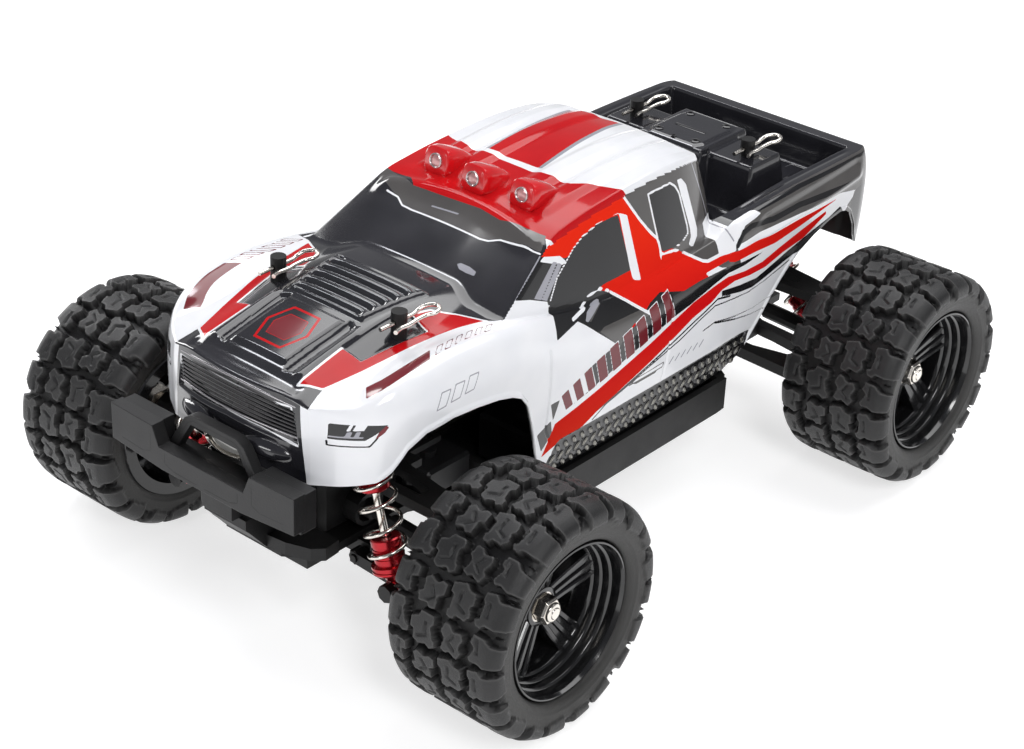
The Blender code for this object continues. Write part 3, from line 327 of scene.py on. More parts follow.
def lathe(profile, centre, axis, segments):
    """Turns (distance along the axis, radius) points; closed on itself if it misses the axis."""
    piece = bmesh.new()
    centre = Vector(centre)
    along, across, other = axes_of(axis)
    rings = []
    for distance_along, radius in profile:
        if radius < 1e-6:
            rings.append([piece.verts.new(centre + along * distance_along)])
            continue
        angles = (2 * math.pi * k / segments for k in range(segments))
        rings.append([piece.verts.new(centre + along * distance_along
                                      + (across * math.cos(t) + other * math.sin(t)) * radius)
                      for t in angles])
    closed = profile[0][1] > 1e-6 and profile[-1][1] > 1e-6
    for i in range(len(rings) if closed else len(rings) - 1):
        ring, after = rings[i], rings[(i + 1) % len(rings)]
        for k in range(segments):
            j = (k + 1) % segments
            corners = dict.fromkeys((ring[k % len(ring)], ring[j % len(ring)],
                                     after[j % len(after)], after[k % len(after)]))
            if len(corners) > 2:
                piece.faces.new(list(corners))
    return piece


def loft(rings):
    """A skin over rings of points, capped at both ends."""
    piece = bmesh.new()
    rings = [[piece.verts.new(point) for point in ring] for ring in rings]
    for ring, after in zip(rings, rings[1:]):
        for k in range(len(ring)):
            j = (k + 1) % len(ring)
            piece.faces.new((ring[k], ring[j], after[j], after[k]))
    piece.faces.new(rings[0])
    piece.faces.new(rings[-1])
    return piece


def tube(points, radius, segments=12):
    points = [Vector(point) for point in points]
    rings, across = [], None
    for i, point in enumerate(points):
        along = (points[min(i + 1, len(points) - 1)] - points[max(i - 1, 0)]).normalized()
        if across is None:
            across = along.orthogonal().normalized()
        else:
            across = (across - along * across.dot(along)).normalized()
        other = along.cross(across)
        angles = (2 * math.pi * k / segments for k in range(segments))
        rings.append([point + (across * math.cos(t) + other * math.sin(t)) * radius
                      for t in angles])
    return loft(rings)


def curve_through(points, steps):
    """Points along a smooth curve through the given ones."""
    points = [Vector(point) for point in points]
    last = len(points) - 1
    curve = []
    for i in range(last):
        before, start, end, after = (points[max(i - 1, 0)], points[i], points[i + 1],
                                     points[min(i + 2, last)])
        for k in range(steps):
            t = k / steps
            curve.append(0.5 * ((2 * start) + (end - before) * t
                                + (2 * before - 5 * start + 4 * end - after) * t * t
                                + (3 * start - before - 3 * end + after) * t ** 3))
    curve.append(points[-1])
    return curve


def mirrored(piece, side):
    if side < 0:
        for vert in piece.verts:
            vert.co.x = -vert.co.x
    return piece


def grid_mesh(name, verts, quads):
    mesh = bpy.data.meshes.new(name)
    mesh.vertices.add(len(verts))
    mesh.vertices.foreach_set("co", (np.asarray(verts) * MM).astype(np.float32).ravel())
    mesh.loops.add(len(quads) * 4)
    mesh.loops.foreach_set("vertex_index", quads.astype(np.int32).ravel())
    mesh.polygons.add(len(quads))
    mesh.polygons.foreach_set("loop_start", (np.arange(len(quads)) * 4).astype(np.int32))
    mesh.update(calc_edges=True)
    mesh.validate()
    return mesh


def quads_of(grid, flip=False):
    """Quads over a grid of vertex numbers."""
    quads = np.stack([grid[:-1, :-1], grid[:-1, 1:], grid[1:, 1:], grid[1:, :-1]], -1)
    quads = quads.reshape(-1, 4)
    return quads[:, ::-1] if flip else quads


def add_attribute(mesh, name, values, domain="POINT"):
    data = mesh.attributes.new(name, "FLOAT", domain).data
    data.foreach_set("value", values.astype(np.float32).ravel())


# ============================================================== field helpers
def smooth01(start, end, value):
    t = np.clip((np.asarray(value, float) - start) / (end - start), 0, 1)
    return t * t * (3 - 2 * t)


def step(gap, slope):
    """1 inside an area, 0 outside, over a slope that wide each way."""
    return 1 - smooth01(-slope, slope, gap)


def smin(a, b, blend):
    share = np.clip(0.5 + 0.5 * (b - a) / blend, 0, 1)
    return b * (1 - share) + a * share - blend * share * (1 - share)


def smax(a, b, blend):
    return -smin(-a, -b, blend)


def hermite(knots, values, at):
    """Monotone cubic through the points."""
    knots, values = np.asarray(knots, float), np.asarray(values, float)
    slopes = np.diff(values) / np.diff(knots)
    tangents = np.zeros(len(knots))
    tangents[0], tangents[-1] = slopes[0], slopes[-1]
    for i in range(1, len(knots) - 1):
        left, right = slopes[i - 1], slopes[i]
        tangents[i] = 0 if left * right <= 0 else 2 * left * right / (left + right)
    at = np.clip(np.asarray(at, float), knots[0], knots[-1])
    k = np.clip(np.searchsorted(knots, at) - 1, 0, len(knots) - 2)
    gap = knots[k + 1] - knots[k]
    t = (at - knots[k]) / gap
    return ((2 * t**3 - 3 * t**2 + 1) * values[k] + (t**3 - 2 * t**2 + t) * gap * tangents[k]
            + (-2 * t**3 + 3 * t**2) * values[k + 1] + (t**3 - t**2) * gap * tangents[k + 1])


def distance(points, x, y, closed=True):
    """Distance to a polygon, negative inside, or to an open line."""
    points = np.asarray(points, float)
    gap = np.full(x.shape, 1e9)
    inside = np.zeros(x.shape, bool)
    count = len(points)
    for i in range(count if closed else count - 1):
        a, b = points[i], points[(i + 1) % count]
        edge_x_, edge_y_ = b - a
        from_x, from_y = x - a[0], y - a[1]
        length2 = max(edge_x_ * edge_x_ + edge_y_ * edge_y_, 1e-12)
        t = np.clip((from_x * edge_x_ + from_y * edge_y_) / length2, 0, 1)
        gap = np.minimum(gap, np.hypot(from_x - edge_x_ * t, from_y - edge_y_ * t))
        if closed and a[1] != b[1]:
            inside ^= (((a[1] > y) != (b[1] > y))
                       & (x < (b[0] - a[0]) * (y - a[1]) / (b[1] - a[1]) + a[0]))
    return np.where(inside, -gap, gap) if closed else gap


# ======================================================== body shell: its form
CORNER_X, CORNER_Y = 27.5, -132.6       # upper corners of the nose
NOSE_TOP_Z, NOSE_LOW_Z = 96.6, 68.4
NOSE_BOW, NOSE_BULGE = 3.2, 2.2         # forward of the corners: upper edge, and face beyond it
BED_FLOOR_Z = 86.0


def crown_z(y):
    """Height of the bonnet on the middle line."""
    return hermite([-137, -132, -120, -106, -92, -78, -62, -40, 0],
                   [94.5, NOSE_TOP_Z, 99.4, 102.2, 104.4, 105.2, 104.6, 100, 92], y)


def wing_z(y):
    """Height of the wings and bed rails."""
    return hermite([-134, -128, -122, -114, -104, -90, -76, -62, -48, -36, -20, 0, 40, 50, 90,
                    131],
                   [86, 91, 95, 98.6, 101.2, 102.6, 101.8, 99.6, 96.4, 93.6, 91.6, 91, 92.5,
                    96.6, 98.8, 98.6], y)


def edge_x(y):
    """Half width at the top edge of the flanks."""
    return hermite([-133, -131, -128, -124, -119, -112, -102, -88, -70, -50, -30, 0, 40, 50, 90,
                    124, 128.5, 131],
                   [27.0, 29.5, 33.5, 37.6, 40.8, 42.8, 43.8, 44.0, 44.0, 44.0, 44.0, 43.8, 43.8,
                    44.2, 44.4, 44.0, 43.2, 41.8], y)


def wide_x(y):
    """Half width where the flanks are widest."""
    return hermite([-133, -131, -128, -124, -119, -112, -102, -88, -55, 0, 50, 100, 124, 128.5,
                    131],
                   [28.2, 31.6, 36.6, 41.4, 45.6, 48.6, 50.2, 50.6, 50.0, 49.6, 49.4, 48.6, 47.2,
                    46.2, 44.6], y)


def hood_z(x, y):
    out_x = np.abs(x)
    bonnet = crown_z(y) - 0.0016 * out_x**2 - 2.2 * smooth01(18, 30, out_x)
    wing = wing_z(y) - 0.028 * (out_x - 43.5) ** 2
    return smax(bonnet, wing, 1.6)


def roof_z(x, y):
    return hermite([-60, -38, -14, 15, 30, 42, 48],
                   [116.6, 118.6, 121.4, 122.9, 122.2, 120.2, 118.4], y) - 0.0016 * np.abs(x)**2


def screen_z(x, y):
    return 100.0 + 0.55 * (y + 65.0) + 2.6 * (1 - (np.abs(x) / 38.0) ** 2)


def cab_flank_z(x, y):
    """Height of the leaning sides of the cab."""
    half = hermite([-70, -36, -12, 14, 30, 42, 48], [35.6, 35.4, 35.4, 35.0, 34.0, 31.6, 29.0], y)
    return 117.0 - (np.abs(x) - half) / 0.31


# Lower edge of the flanks, (y, z)
SILL = np.array(outline("""
-133 68.2, -128 69, -121 70.4, -117.4 73.6, -113 80, -106.7 83.6, -96 84.6, -85.7 83.8, -76 82.2,
-69.2 80.2, -64.6 77.8, -61.2 73.6, -58.4 66, -55.4 57.4, -52 49.4, -48.5 43.4, -44 40.2,
50 39.6, 56.5 43.2, 60 47, 65.7 55.2, 70 61.6, 74.7 66.9, 80.1 71.8, 84.7 75, 93.1 78.4,
102.3 80.8, 109.8 81.6, 114.6 80.4, 118.4 77.6, 122 72.2, 125.4 66, 128.6 62, 131 61.6"""))


def sill_z(y):
    return np.interp(y, SILL[:, 0], SILL[:, 1])


def flank_x(y, z, top):
    """Half width of the body side at height z, under a top edge at height top."""
    edge, wide = edge_x(y), wide_x(y)
    turn = 14.0     # height over which the flank turns out from its top edge
    t = np.clip((top - z) / turn, 0, 1)
    round_ = np.sqrt(np.clip(1 - (1 - t) ** 2, 0, 1))
    slack = 1 - (1 - t) ** 2
    share = 1 - smooth01(-66, -46, y) * (1 - smooth01(44, 52, y))
    x = edge + (wide - edge) * (round_ * share + slack * (1 - share))
    return x - np.clip(top - turn - z, 0, None) ** 2 * 0.0022


def upper_z(x, y):
    """Height of the upper skin: bonnet, cab and load bed."""
    x, y = np.asarray(x, float), np.asarray(y, float)
    out_x = np.abs(x)
    back = 118.2 - (y - 44.5) * 4.6
    cab = smin(smin(roof_z(x, y), screen_z(x, y), 2.0),
               smin(cab_flank_z(x, y), back, 2.0), 2.6)
    ahead = smax(np.where(y < 40, hood_z(x, y), wing_z(y)), cab, 1.2)
    # load bed: a floor between the rails, with a low hump and a narrower, higher one on it
    rail_in = hermite([44, 50, 60, 131], [36.0, 38.8, 39.6, 39.4], y)
    inside = (smooth01(0, 1.8, rail_in - out_x) * smooth01(46.5, 49.0, y)
              * smooth01(0, 1.8, 125.6 - y))
    bed = wing_z(y) + (BED_FLOOR_Z - wing_z(y)) * inside
    low_hump = BED_FLOOR_Z + ((103.6 - BED_FLOOR_Z) * (1 - smooth01(0, 4.5, out_x - 31.0))
                              * (smooth01(72.0, 76.5, y) * (1 - smooth01(93.0, 98.0, y))))
    high_hump = BED_FLOOR_Z + ((105.4 - BED_FLOOR_Z) * (1 - smooth01(0, 3.0, out_x - 13.0))
                               * (smooth01(66.0, 72.0, y) * (1 - smooth01(98.0, 103.5, y))))
    bed = np.maximum(bed, np.maximum(low_hump, high_hump) * (inside > 0.5))
    return np.where(y > 45.5, smax(bed, cab, 1.2), ahead)


# ============================================================ body shell: paint
TOP, SIDE, NOSE, TAIL = range(4)        # zones of the shell
# Paint layers; the ones named OVER lie on top of the first four
(CHARCOAL, RED, BLACK, WHITE, OVER_RED, OVER_BLACK, OVER_WHITE, SILVER, MAROON,
 OVER_CHARCOAL) = range(10)
LAYERS = 10

BADGE = "-2 -118.3, 3.6 -118.3, 5.5 -113.3, 3.6 -108.4, -2 -108.4"
BONNET_FLASH = """
19.8 -128.6, 26.1 -124.6, 29.2 -112, 31.6 -100, 33.6 -88, 35.4 -77, 37.6 -67.2, 29.4 -72,
24.2 -77.6, 22.6 -84, 30 -85.4, 25.8 -108.9, 19.2 -109.6, 19.4 -118"""
DOOR_BOXES = """
-41.31 63.73, -38.01 64.4, -41.16 71.25, -44.39 70.04;
-35.97 64.8, -32.61 65.46, -35.85 73.17, -39.15 71.98;
-30.53 65.86, -27.13 66.51, -30.34 75.08, -33.81 73.89;
-25.03 66.9, -21 67.91, -23.86 77.04, -27.89 75.82;
-18.5 68.53, -14.41 69.54, -17.2 78.94, -21.37 77.78;
-11.88 70.16, -7.73 71.17, -10.19 80.7, -14.56 79.62;
-5.17 71.79, -0.98 72.88, -3.1 82.59, -7.53 81.44;
1.61 73.55, 5.86 74.65, 4.24 84.4, -0.33 83.29;
8.48 75.33, 12.77 76.43, 10.91 85.97, 7.09 85.08"""

# Layer, filled area or open line or closed loop, line width, outlines.
# Outlines are (x, y) on the top, (y, z) on the sides and (x, z) on the nose.
TOP_BOTH_SIDES = [
    (BLACK, "area", 0, """
-6 -142, 24 -142, 28.2 -133.6, 26.6 -127.4, 26.1 -124.6, 19.8 -128.6, 19.4 -118, 19.2 -109.6,
25.8 -108.9, 30 -85.4, 22.6 -84, 24.2 -77.6, 29.4 -72, 37.6 -67.2, 41 -63, 40.2 -55, -6 -50"""),
    (OVER_RED, "loop", 0.9, "-2 -121.5, 5.2 -121.5, 8.2 -113.3, 5.2 -105.2, -2 -105.2"),
    (MAROON, "area", 0, BADGE),
    (OVER_RED, "loop", 0.5, BADGE),
    (OVER_BLACK, "area", 0, "19.2 -109.6, 25.8 -108.9, 30 -85.4, 22.6 -84, 19 -90"),
    (RED, "area", 0, BONNET_FLASH),
    (WHITE, "loop", 0.75, BONNET_FLASH),
    (MAROON, "area", 0, """
38.39 -119.76, 39.62 -117.79, 40.84 -115.81, 41.62 -113.35, 42.19 -110.68, 42.68 -107.89,
43 -104.9, 43.11 -101.69, 43.21 -98.42, 39.45 -94.34, 39.37 -97.64, 39.17 -100.8,
38.92 -103.89, 38.53 -106.8, 37.89 -109.44, 36.97 -111.77, 35.77 -113.79, 34.73 -115.98"""),
    (MAROON, "loop", 0.32, """
42.94 -95.96, 42.96 -93.69, 39.8 -89.12, 39.86 -91.5;
43.06 -91.89, 43.09 -89.6, 39.64 -84.66, 39.77 -87.14;
43.03 -87.59, 42.88 -85.09, 39.24 -79.89, 39.46 -82.5;
42.78 -83.03, 42.79 -80.67, 39.43 -75.73, 39.32 -78;
42.77 -78.67, 42.92 -76.44, 39.76 -71.69, 39.55 -73.87;
43.03 -74.57, 43.07 -72.2, 40.01 -67.52, 39.88 -69.82"""),
]
TOP_PAINT = [    # windscreen and roof
    (BLACK, "area", 0, """
-43.73 -66.03, -38.26 -34.25, -35.15 -31.93, 32.22 -35.1, 39.82 -42.36, 40.73 -55.96,
39.92 -58.62, 28.13 -70.84"""),
    (OVER_CHARCOAL, "area", 0, """
-34.47 -39.1, -36.42 -33.83, -19.2 -39.04, -3.77 -38.62, 8.36 -38.13, 17.32 -38.91,
33.21 -35.74, 35.69 -40.85, 21.47 -43.51, 15.45 -45.92, -13.17 -45.87, -17.91 -45.41,
-21.61 -43.35"""),
    (OVER_WHITE, "line", 0.55, """
-27.21 -42.52, -21.61 -43.35, -17.91 -45.41, -13.17 -45.87, 15.45 -45.92, 18.26 -45.39,
21.47 -43.51, 35.87 -41.51"""),
    (SILVER, "line", 0.5, "-7.82 -42.48, 2.5 -41.76"),
    (SILVER, "line", 0.35, "36.32 -42.02, 39.4 -56.7"),
    (SILVER, "area", 0, """
14.92 -55.67, 15.83 -54.87, 19.39 -54.72, 22.3 -55.21, 22.68 -56.53, 19.7 -56.84, 16.72 -56.73;
-15.32 -8.91, -18.77 37.88, -17.54 37.99, -13.74 -8.99;
6.43 -8.27, 7.7 -8.03, 1.12 42.6, -0.49 42.19"""),
    (OVER_RED, "area", 0, """
-37.11 -40.51, -35.6 -34.69, -28.56 -35.59, -22.8 -36.14, -17.98 -39.88, -2.92 -39.53,
9.16 -39.02, 17.82 -39.47, 35.02 -36.44, 46.82 -26.35, 37.88 4.51, 32.9 -0.42, 27.89 -3.27,
21.28 -10.15, 15.06 -10.1, 6.74 -11.57, -15.62 -11.25, -19.85 -11.36, -30.87 -7.86,
-39.76 -3.95, -51.95 -10.3"""),
    (RED, "area", 0, "-13.74 -8.99, -17.54 37.99, -0.49 42.19, 6.43 -8.27"),
    (WHITE, "line", 0.9, "-19.3 -11, 7.65 -11.65"),
]
SIDE_PAINT = [
    (CHARCOAL, "area", 0, """
-1.74 121.71, 12.97 132.47, 38.54 121.44, 40.68 118.74, 42.38 106.99, 47.1 89.99, 48.78 81.93,
39.34 84.3, 30.79 89.19, 25.14 92.78, 20.5 94.98, 13.81 95.23, 12.98 101.64, 6.17 109.53;
38.49 93.19, 28.52 118.06, 133.93 107.12, 151.66 45.03, 110.66 79.7, 122.11 85.83,
108.88 88.81, 95.74 89.39, 83.17 90.17, 71.08 90.47, 59.45 90.64, 52.57 90.04, 46.49 89.6,
39.87 88.53;
30 100, 36 96, 44 88.5, 52 93.5, 52 104, 45.5 120, 36 120"""),
    (CHARCOAL, "line", 0.4, "4.27 117.4, 6.6 110.99"),
    (RED, "area", 0, """
-42.13 112.41, -37.27 117.6, -23.82 127.58, -0.62 122.01, 1.83 116.25, 6.17 109.53,
10.44 104.05, 12.98 101.64, 13.4 95.68, 15.6 90.09, -3.42 76.97, -37.36 97.94, -31.56 107.83,
-33.7 110.35;
-18.97 97.05, -5.22 97.34, 1.04 106.07, 9.58 99.58, 14.07 97.3, 17.31 96.88, 22.46 94.37,
27.94 90.88, 31.09 88.86, 33.32 88.23, 39.87 88.53, 46.16 88.37, 45.63 85.83, 38.44 85.81,
27.61 85.57, 18.64 84.52, 7.04 86.53, 0.93 82.25;
-16.5 95.47, -2.65 95.74, 2.94 96.81, 13.84 97.16, 17.2 95.42, 28.05 88.49, 32.53 82.59,
25.39 80.15, 3.97 80.29;
25.3 90.2, 28.9 89.5, 32.6 88.7, 37.3 87.9, 42 87, 45.7 86.2, 41.5 85.6, 36.6 85.4, 32.8 85.3,
29 85.1, 25.4 84.8, 21.8 84.5"""),
    (BLACK, "area", 0, """
-56.81 104.11, -50.35 102.26, -42.33 98.97, -46.47 89.85, -33.58 91.06, -28.1 91.42,
-25.19 92.96, -21.64 94.94, -16.34 96.05, -2.56 96.03, -4.03 113.94, -31.23 108.96,
-42.04 112.69, -53.78 106.44;
-35.3 92, -31.9 92.2, -28.5 92.5, -25.6 93.3, -23.7 94.7, -19.1 95.1, -13.4 92.2, -11.5 90.8,
-9.5 89.3, -7.4 87.7, -5.1 86, -2.7 84.2, -0.1 82.3, -5.5 81.8, -8.7 81.6, -11.4 80.2,
-13.9 78.6, -16.1 76.8, -19.7 79.6, -22.8 82.1, -25.6 84.3, -28.4 86.7, -31.1 88.9;
119.5 86, 136 90, 136 38, 110 38, 113 70;
18.21 83.38, 26.93 83.86, 37.72 83.75, 41.98 83.78, 50.9 83.07, 63.26 82.83, 51.15 81.49,
42.21 81.63, 34.44 80.37, 20.79 77.68, 9.13 75.81, -5.48 81.83, 1 85.06, 7.04 86.53;
38.79 76.23, 49.52 74.5, 59.12 73.63, 66.02 74.96, 75.88 77.18, 86.65 79.16, 98.29 81.29,
109.74 83.54, 111.86 80.45, 99.08 77.89, 87.45 75.75, 75.43 73.85, 64.93 71.86, 57.4 70.79,
50.15 71.58, 39.11 74.22;
-54.36 59.66, -48.3 62.63, -46.77 57.06, -50.88 51.99;
-49.32 68.97, -45.01 68.98, -47.27 62.18;
-41.31 63.73, 15.42 77.11, 10.91 85.97, -30.12 75.14, -26.69 66.59;
-129.66 89.66, -117.88 89.29, -123.48 84.7, -130.03 84.68"""),
    (BLACK, "line", 1.1, "47.59 96.81, 85.9 98.12, 127.82 97.5"),
    (BLACK, "line", 0.55, """
-26.53 53.54, -20.18 56.94, -10.81 59.07, 1.72 62.27, 17.21 65.94, 27.58 69.5, 35.58 71.76,
47.49 70.28, 55.31 69.63, 65.25 70.57, 79.31 73.21"""),
    (BLACK, "line", 0.7, """
-25.6 56.22, -13.4 59.02, -3.49 61.74, 6.65 64.45, 22.07 69.35, 30.52 71.78, 36.9 73.91,
44.07 72.36"""),
    (BLACK, "line", 0.5, """
30.32 64.22, 36.92 65.11, 49.49 62.44, 59.9 61.53, 69.43 62.23, 77.15 65.29"""),
    (BLACK, "line", 0.6, "37.01 64.69, 49.88 61.1, 59.36 59.33, 70.63 58.51"),
    (BLACK, "line", 0.45, "-130.14 84.03, -130.06 82.63, -122.63 82.76, -120.77 85.59"),
    (WHITE, "area", 0, """
-42.89 111.43, -40.75 112.28, -33.7 110.35, -31.12 107.69, -33.57 107.54;
40.18 97.01, 43.28 97.82, 60.36 97.31, 62.03 96.13, 59.47 95.58, 52.47 94.67, 48.07 91.24,
46.69 88.91, 39.41 88.66, 40.14 91.15"""),
    (WHITE, "line", 1, """
-2.52 122.57, 1.74 115.96, 6.08 109.24, 10.35 103.75, 12.89 101.34, 13.69 98.5, 13.14 94.8;
13.3 95.4, 16.9 95.2, 20.5 95, 25.1 92.8, 27.9 90.9, 31.1 88.9, 33.3 88.2, 39.7 88.3,
43.1 88.2, 46.2 88.4"""),
    (OVER_RED, "area", 0, """
-46.01 60.51, -35.74 62.47, -24.71 64.91, -12.43 68.04, 0.18 71.16, 11.44 74.56, 22.41 77.81,
34.43 79.66, 41.66 80.39, 51.56 79.08, 61.6 78.87, 72.05 80.86, 84 82.78, 100.11 84.92,
100.37 83.68, 86.65 79.16, 74.46 78.08, 63.96 76.1, 55.01 76.3, 46.06 77.31, 38.72 76.62,
33.5 74.06, 23.28 71.9, 12.51 67.8, 1.4 63.92, -13.48 59.44, -23.18 56.7, -33.64 52.03,
-40.97 52.19, -45.48 51.11, -50.28 49.38;
46.01 87.74, 56.37 88.12, 68.05 87.86, 80.14 87.88, 92.68 87.42, 107.67 87.33, 94.78 85.96,
83.61 84.83, 68.51 83.62, 56.52 84.44, 45.45 84.5, 42.36 85.34"""),
    (OVER_BLACK, "area", 0, """
12.66 115.19, 23.89 115.25, 25.86 113.99, 27.94 111.07, 29.35 100.2, 29.14 97.65, 25.62 96.21,
21.3 95.7, 14.16 96.41;
-42.33 98.97, -36.84 104.58, -31.56 107.83, -27.38 110.53, -22.36 112.68, -15.04 114.16,
-7.01 114.22, -4.03 113.94, -2.56 96.03, -16.34 96.05, -21.64 94.94, -25.19 92.96,
-28.1 91.42, -33.58 91.06, -46.47 89.85"""),
    (OVER_BLACK, "line", 1.6, "51.21 93.12, 47.6 89.38"),
    (OVER_BLACK, "line", 1.7, "51.11 92.82, 55.79 93.76, 68.39 92.36, 83.37 92.6, 124.52 89.97"),
    (OVER_CHARCOAL, "area", 0, """
-25.3 84.9, -22.9 85.6, -19.5 85.4, -16.1 85.2, -12.7 85, -9.2 84.9, -5.8 84.7, -2.4 84.6,
0.8 81.6, -5.5 81.8, -8.7 81.6, -11.4 80.2, -13.9 78.6, -16.1 76.8;
-6.58 58.82, 6.68 59.07, 5.28 58.1, -4.85 58.09"""),
    (OVER_CHARCOAL, "line", 0.5, "-28.2 89.1, -24.4 90.4, -20.6 91.7"),
    (OVER_CHARCOAL, "loop", 0.45, "-8.7 58.95, 8.87 58.94, 9.59 60.57, -4.8 60.38"),
    (OVER_WHITE, "area", 0, """
28.62 115.05, 31.05 114.92, 33.43 112.19, 35.7 96.99, 34.81 94.67, 31.3 92.64, 28.37 93.32,
31.12 95.99, 31.33 98.55;
-3.39 114.37, 0.24 112.63, 1.39 91.53, -2.46 92.8, -2.87 96.77;
-126.91 87.55, -126.01 89.6, -125.32 89.69, -126.23 87.65;
-125.71 87.71, -124.78 89.73, -122.53 89.51, -123.48 87.83"""),
    (OVER_WHITE, "loop", 0.75, """
12.25 115.63, 24.52 115.38, 26.95 113.65, 28.5 110.89, 29.91 100.01, 29.7 97.46, 26.17 96.03,
21.21 95.4, 13.49 95.98"""),
    (OVER_WHITE, "line", 0.6, """
-42.66 97.84, -36.84 104.58, -31.56 107.83, -27.38 110.53, -22.36 112.68, -15.04 114.16,
-7.01 114.22, -3.95 114.22;
-2.6 96, -6 96.1, -9.5 96.2, -12.9 96.3, -16.3 96.3, -21.6 95.2"""),
    (OVER_WHITE, "line", 1, """
-35.7 92.1, -32.3 92.4, -29 92.7, -24.7 94.7, -19.9 95.6, -15.5 93.9, -12.9 91.9, -11.1 90.5,
-9.1 89, -7 87.3, -4.8 85.6, -2.4 83.8, 0.3 81.8"""),
    (MAROON, "area", 0, DOOR_BOXES),
    (OVER_WHITE, "loop", 0.55, DOOR_BOXES),
    (MAROON, "area", 0, """
-121.44 84.99, -120.46 87.14, -118.65 89.1, -117.82 88.66, -119.08 86.99"""),
    (SILVER, "area", 0, """
-37.25 109.64, -35.51 109.08, -45.62 100.68, -48.55 101.96;
-35.16 108.66, -33.49 107.82, -43.11 99.54, -45.19 100.54;
-30.4 89.8, -28.2 91.6, -25.3 92.3, -22.2 92.9, -19.8 92.8, -20.6 91.7, -25.6 90.2, -29.3 89.2;
-127.42 85.33, -126.77 87.27, -125.74 87.4, -126.4 85.48;
-125.7 85.55, -125.02 87.47, -124.08 87.51, -124.78 85.62"""),
    (SILVER, "loop", 0.4, """
-102.55 89.31, -98.92 89.54, -96.46 94, -100.04 94.04;
-96.87 89.89, -93.13 90.07, -90.57 94.49, -94.31 94.61;
-91.01 90.38, -87.09 90.46, -84.35 94.78, -88.29 95.03"""),
    (SILVER, "line", 0.5, "39 118.69, 42.38 106.99, 46.51 91.26"),
    (SILVER, "line", 0.55, """
12.77 58.49, 14.76 60.59; 16.07 58.46, 18.06 60.56; 19.38 58.43, 21.38 60.54;
22.71 58.39, 24.72 60.51; 26.07 58.36, 28.08 60.48; 29.46 58.32, 31.47 60.45"""),
    (SILVER, "line", 0.45, "-129.84 85.52, -123.82 85.65"),
]
NOSE_PAINT = [
    (OVER_WHITE, "line", 0.6, """
-24.07 91.23, -13.26 92.02, 4.61 92.18, 15.66 92.17, 22.62 92.41, 25.19 80.99"""),
    (OVER_WHITE, "line", 0.45, """
-24.07 91.23, -23.68 82.68, -2.87 83.58, 12.7 82.52, 25.17 80.31"""),
]
# Zone, same on both sides, table
PAINT = [(TOP, True, TOP_BOTH_SIDES), (TOP, False, TOP_PAINT), (SIDE, False, SIDE_PAINT),
         (NOSE, False, NOSE_PAINT)]
TREAD_PLATE = outline("""
-49.2 39.6, -46.6 45.6, -43.6 51.4, -41.6 52.7, 57.2 52.7, 61.5 52.2, 59.4 46, 56 42.4,
50.2 39""")
BLACK_BED = outline("-50 46.4, 50 46.4, 50 140, -50 140")
FAR = 3.0       # paint distance given where no outline is near


def paint_values(zone, across, up):
    """Signed distance to each layer's paint, for points in the plane of the zone."""
    values = np.full((LAYERS, across.size), FAR)
    for painted, both_sides, groups in PAINT:
        if painted != zone:
            continue
        place = np.abs(across) if both_sides else across
        for layer, style, width, text in groups:
            for points in outlines(text):
                low = np.min(points, axis=0) - 3.2
                high = np.max(points, axis=0) + 3.2
                near = (place > low[0]) & (place < high[0]) & (up > low[1]) & (up < high[1])
                gap = distance(points, place[near], up[near], closed=style != "line")
                if style != "area":
                    gap = np.abs(gap) - width / 2
                values[layer, near] = np.minimum(values[layer, near], gap)
    return values


# =========================================================== body shell: relief
# Height, slope width and outline in (|x|, y)
BONNET_RELIEF = [
    (1.0, 0.7, "-10.8 -125, 10.8 -125, 11.2 -101.4, -11.2 -101.4"),         # badge panel
    (-1.1, 0.5, "12.6 -126.5, 15 -125.6, 15.2 -101, 12.4 -99.6"),           # channels beside it
    (0.55, 0.7, "16.4 -127, 18.6 -126, 18.4 -103, 16.6 -100"),              # outer ridges
    (1.3, 1.0, "-15 -97.4, 15 -97.4, 18.4 -73.4, -18.4 -73.4"),             # vent box
    (-1.0, 0.8, "19.2 -109.6, 25.8 -108.9, 30 -85.4, 22.6 -84, 19.4 -90"),  # round the posts
]
VENT_SLATS = outline("-13.6 -96.6, 13.6 -96.6, 16.9 -74.2, -16.9 -74.2")
HUMP_PANEL = outline("-9.5 72.5, 9.5 72.5, 11 76, 11 92, 9.5 97, -9.5 97, -11 92, -11 76")


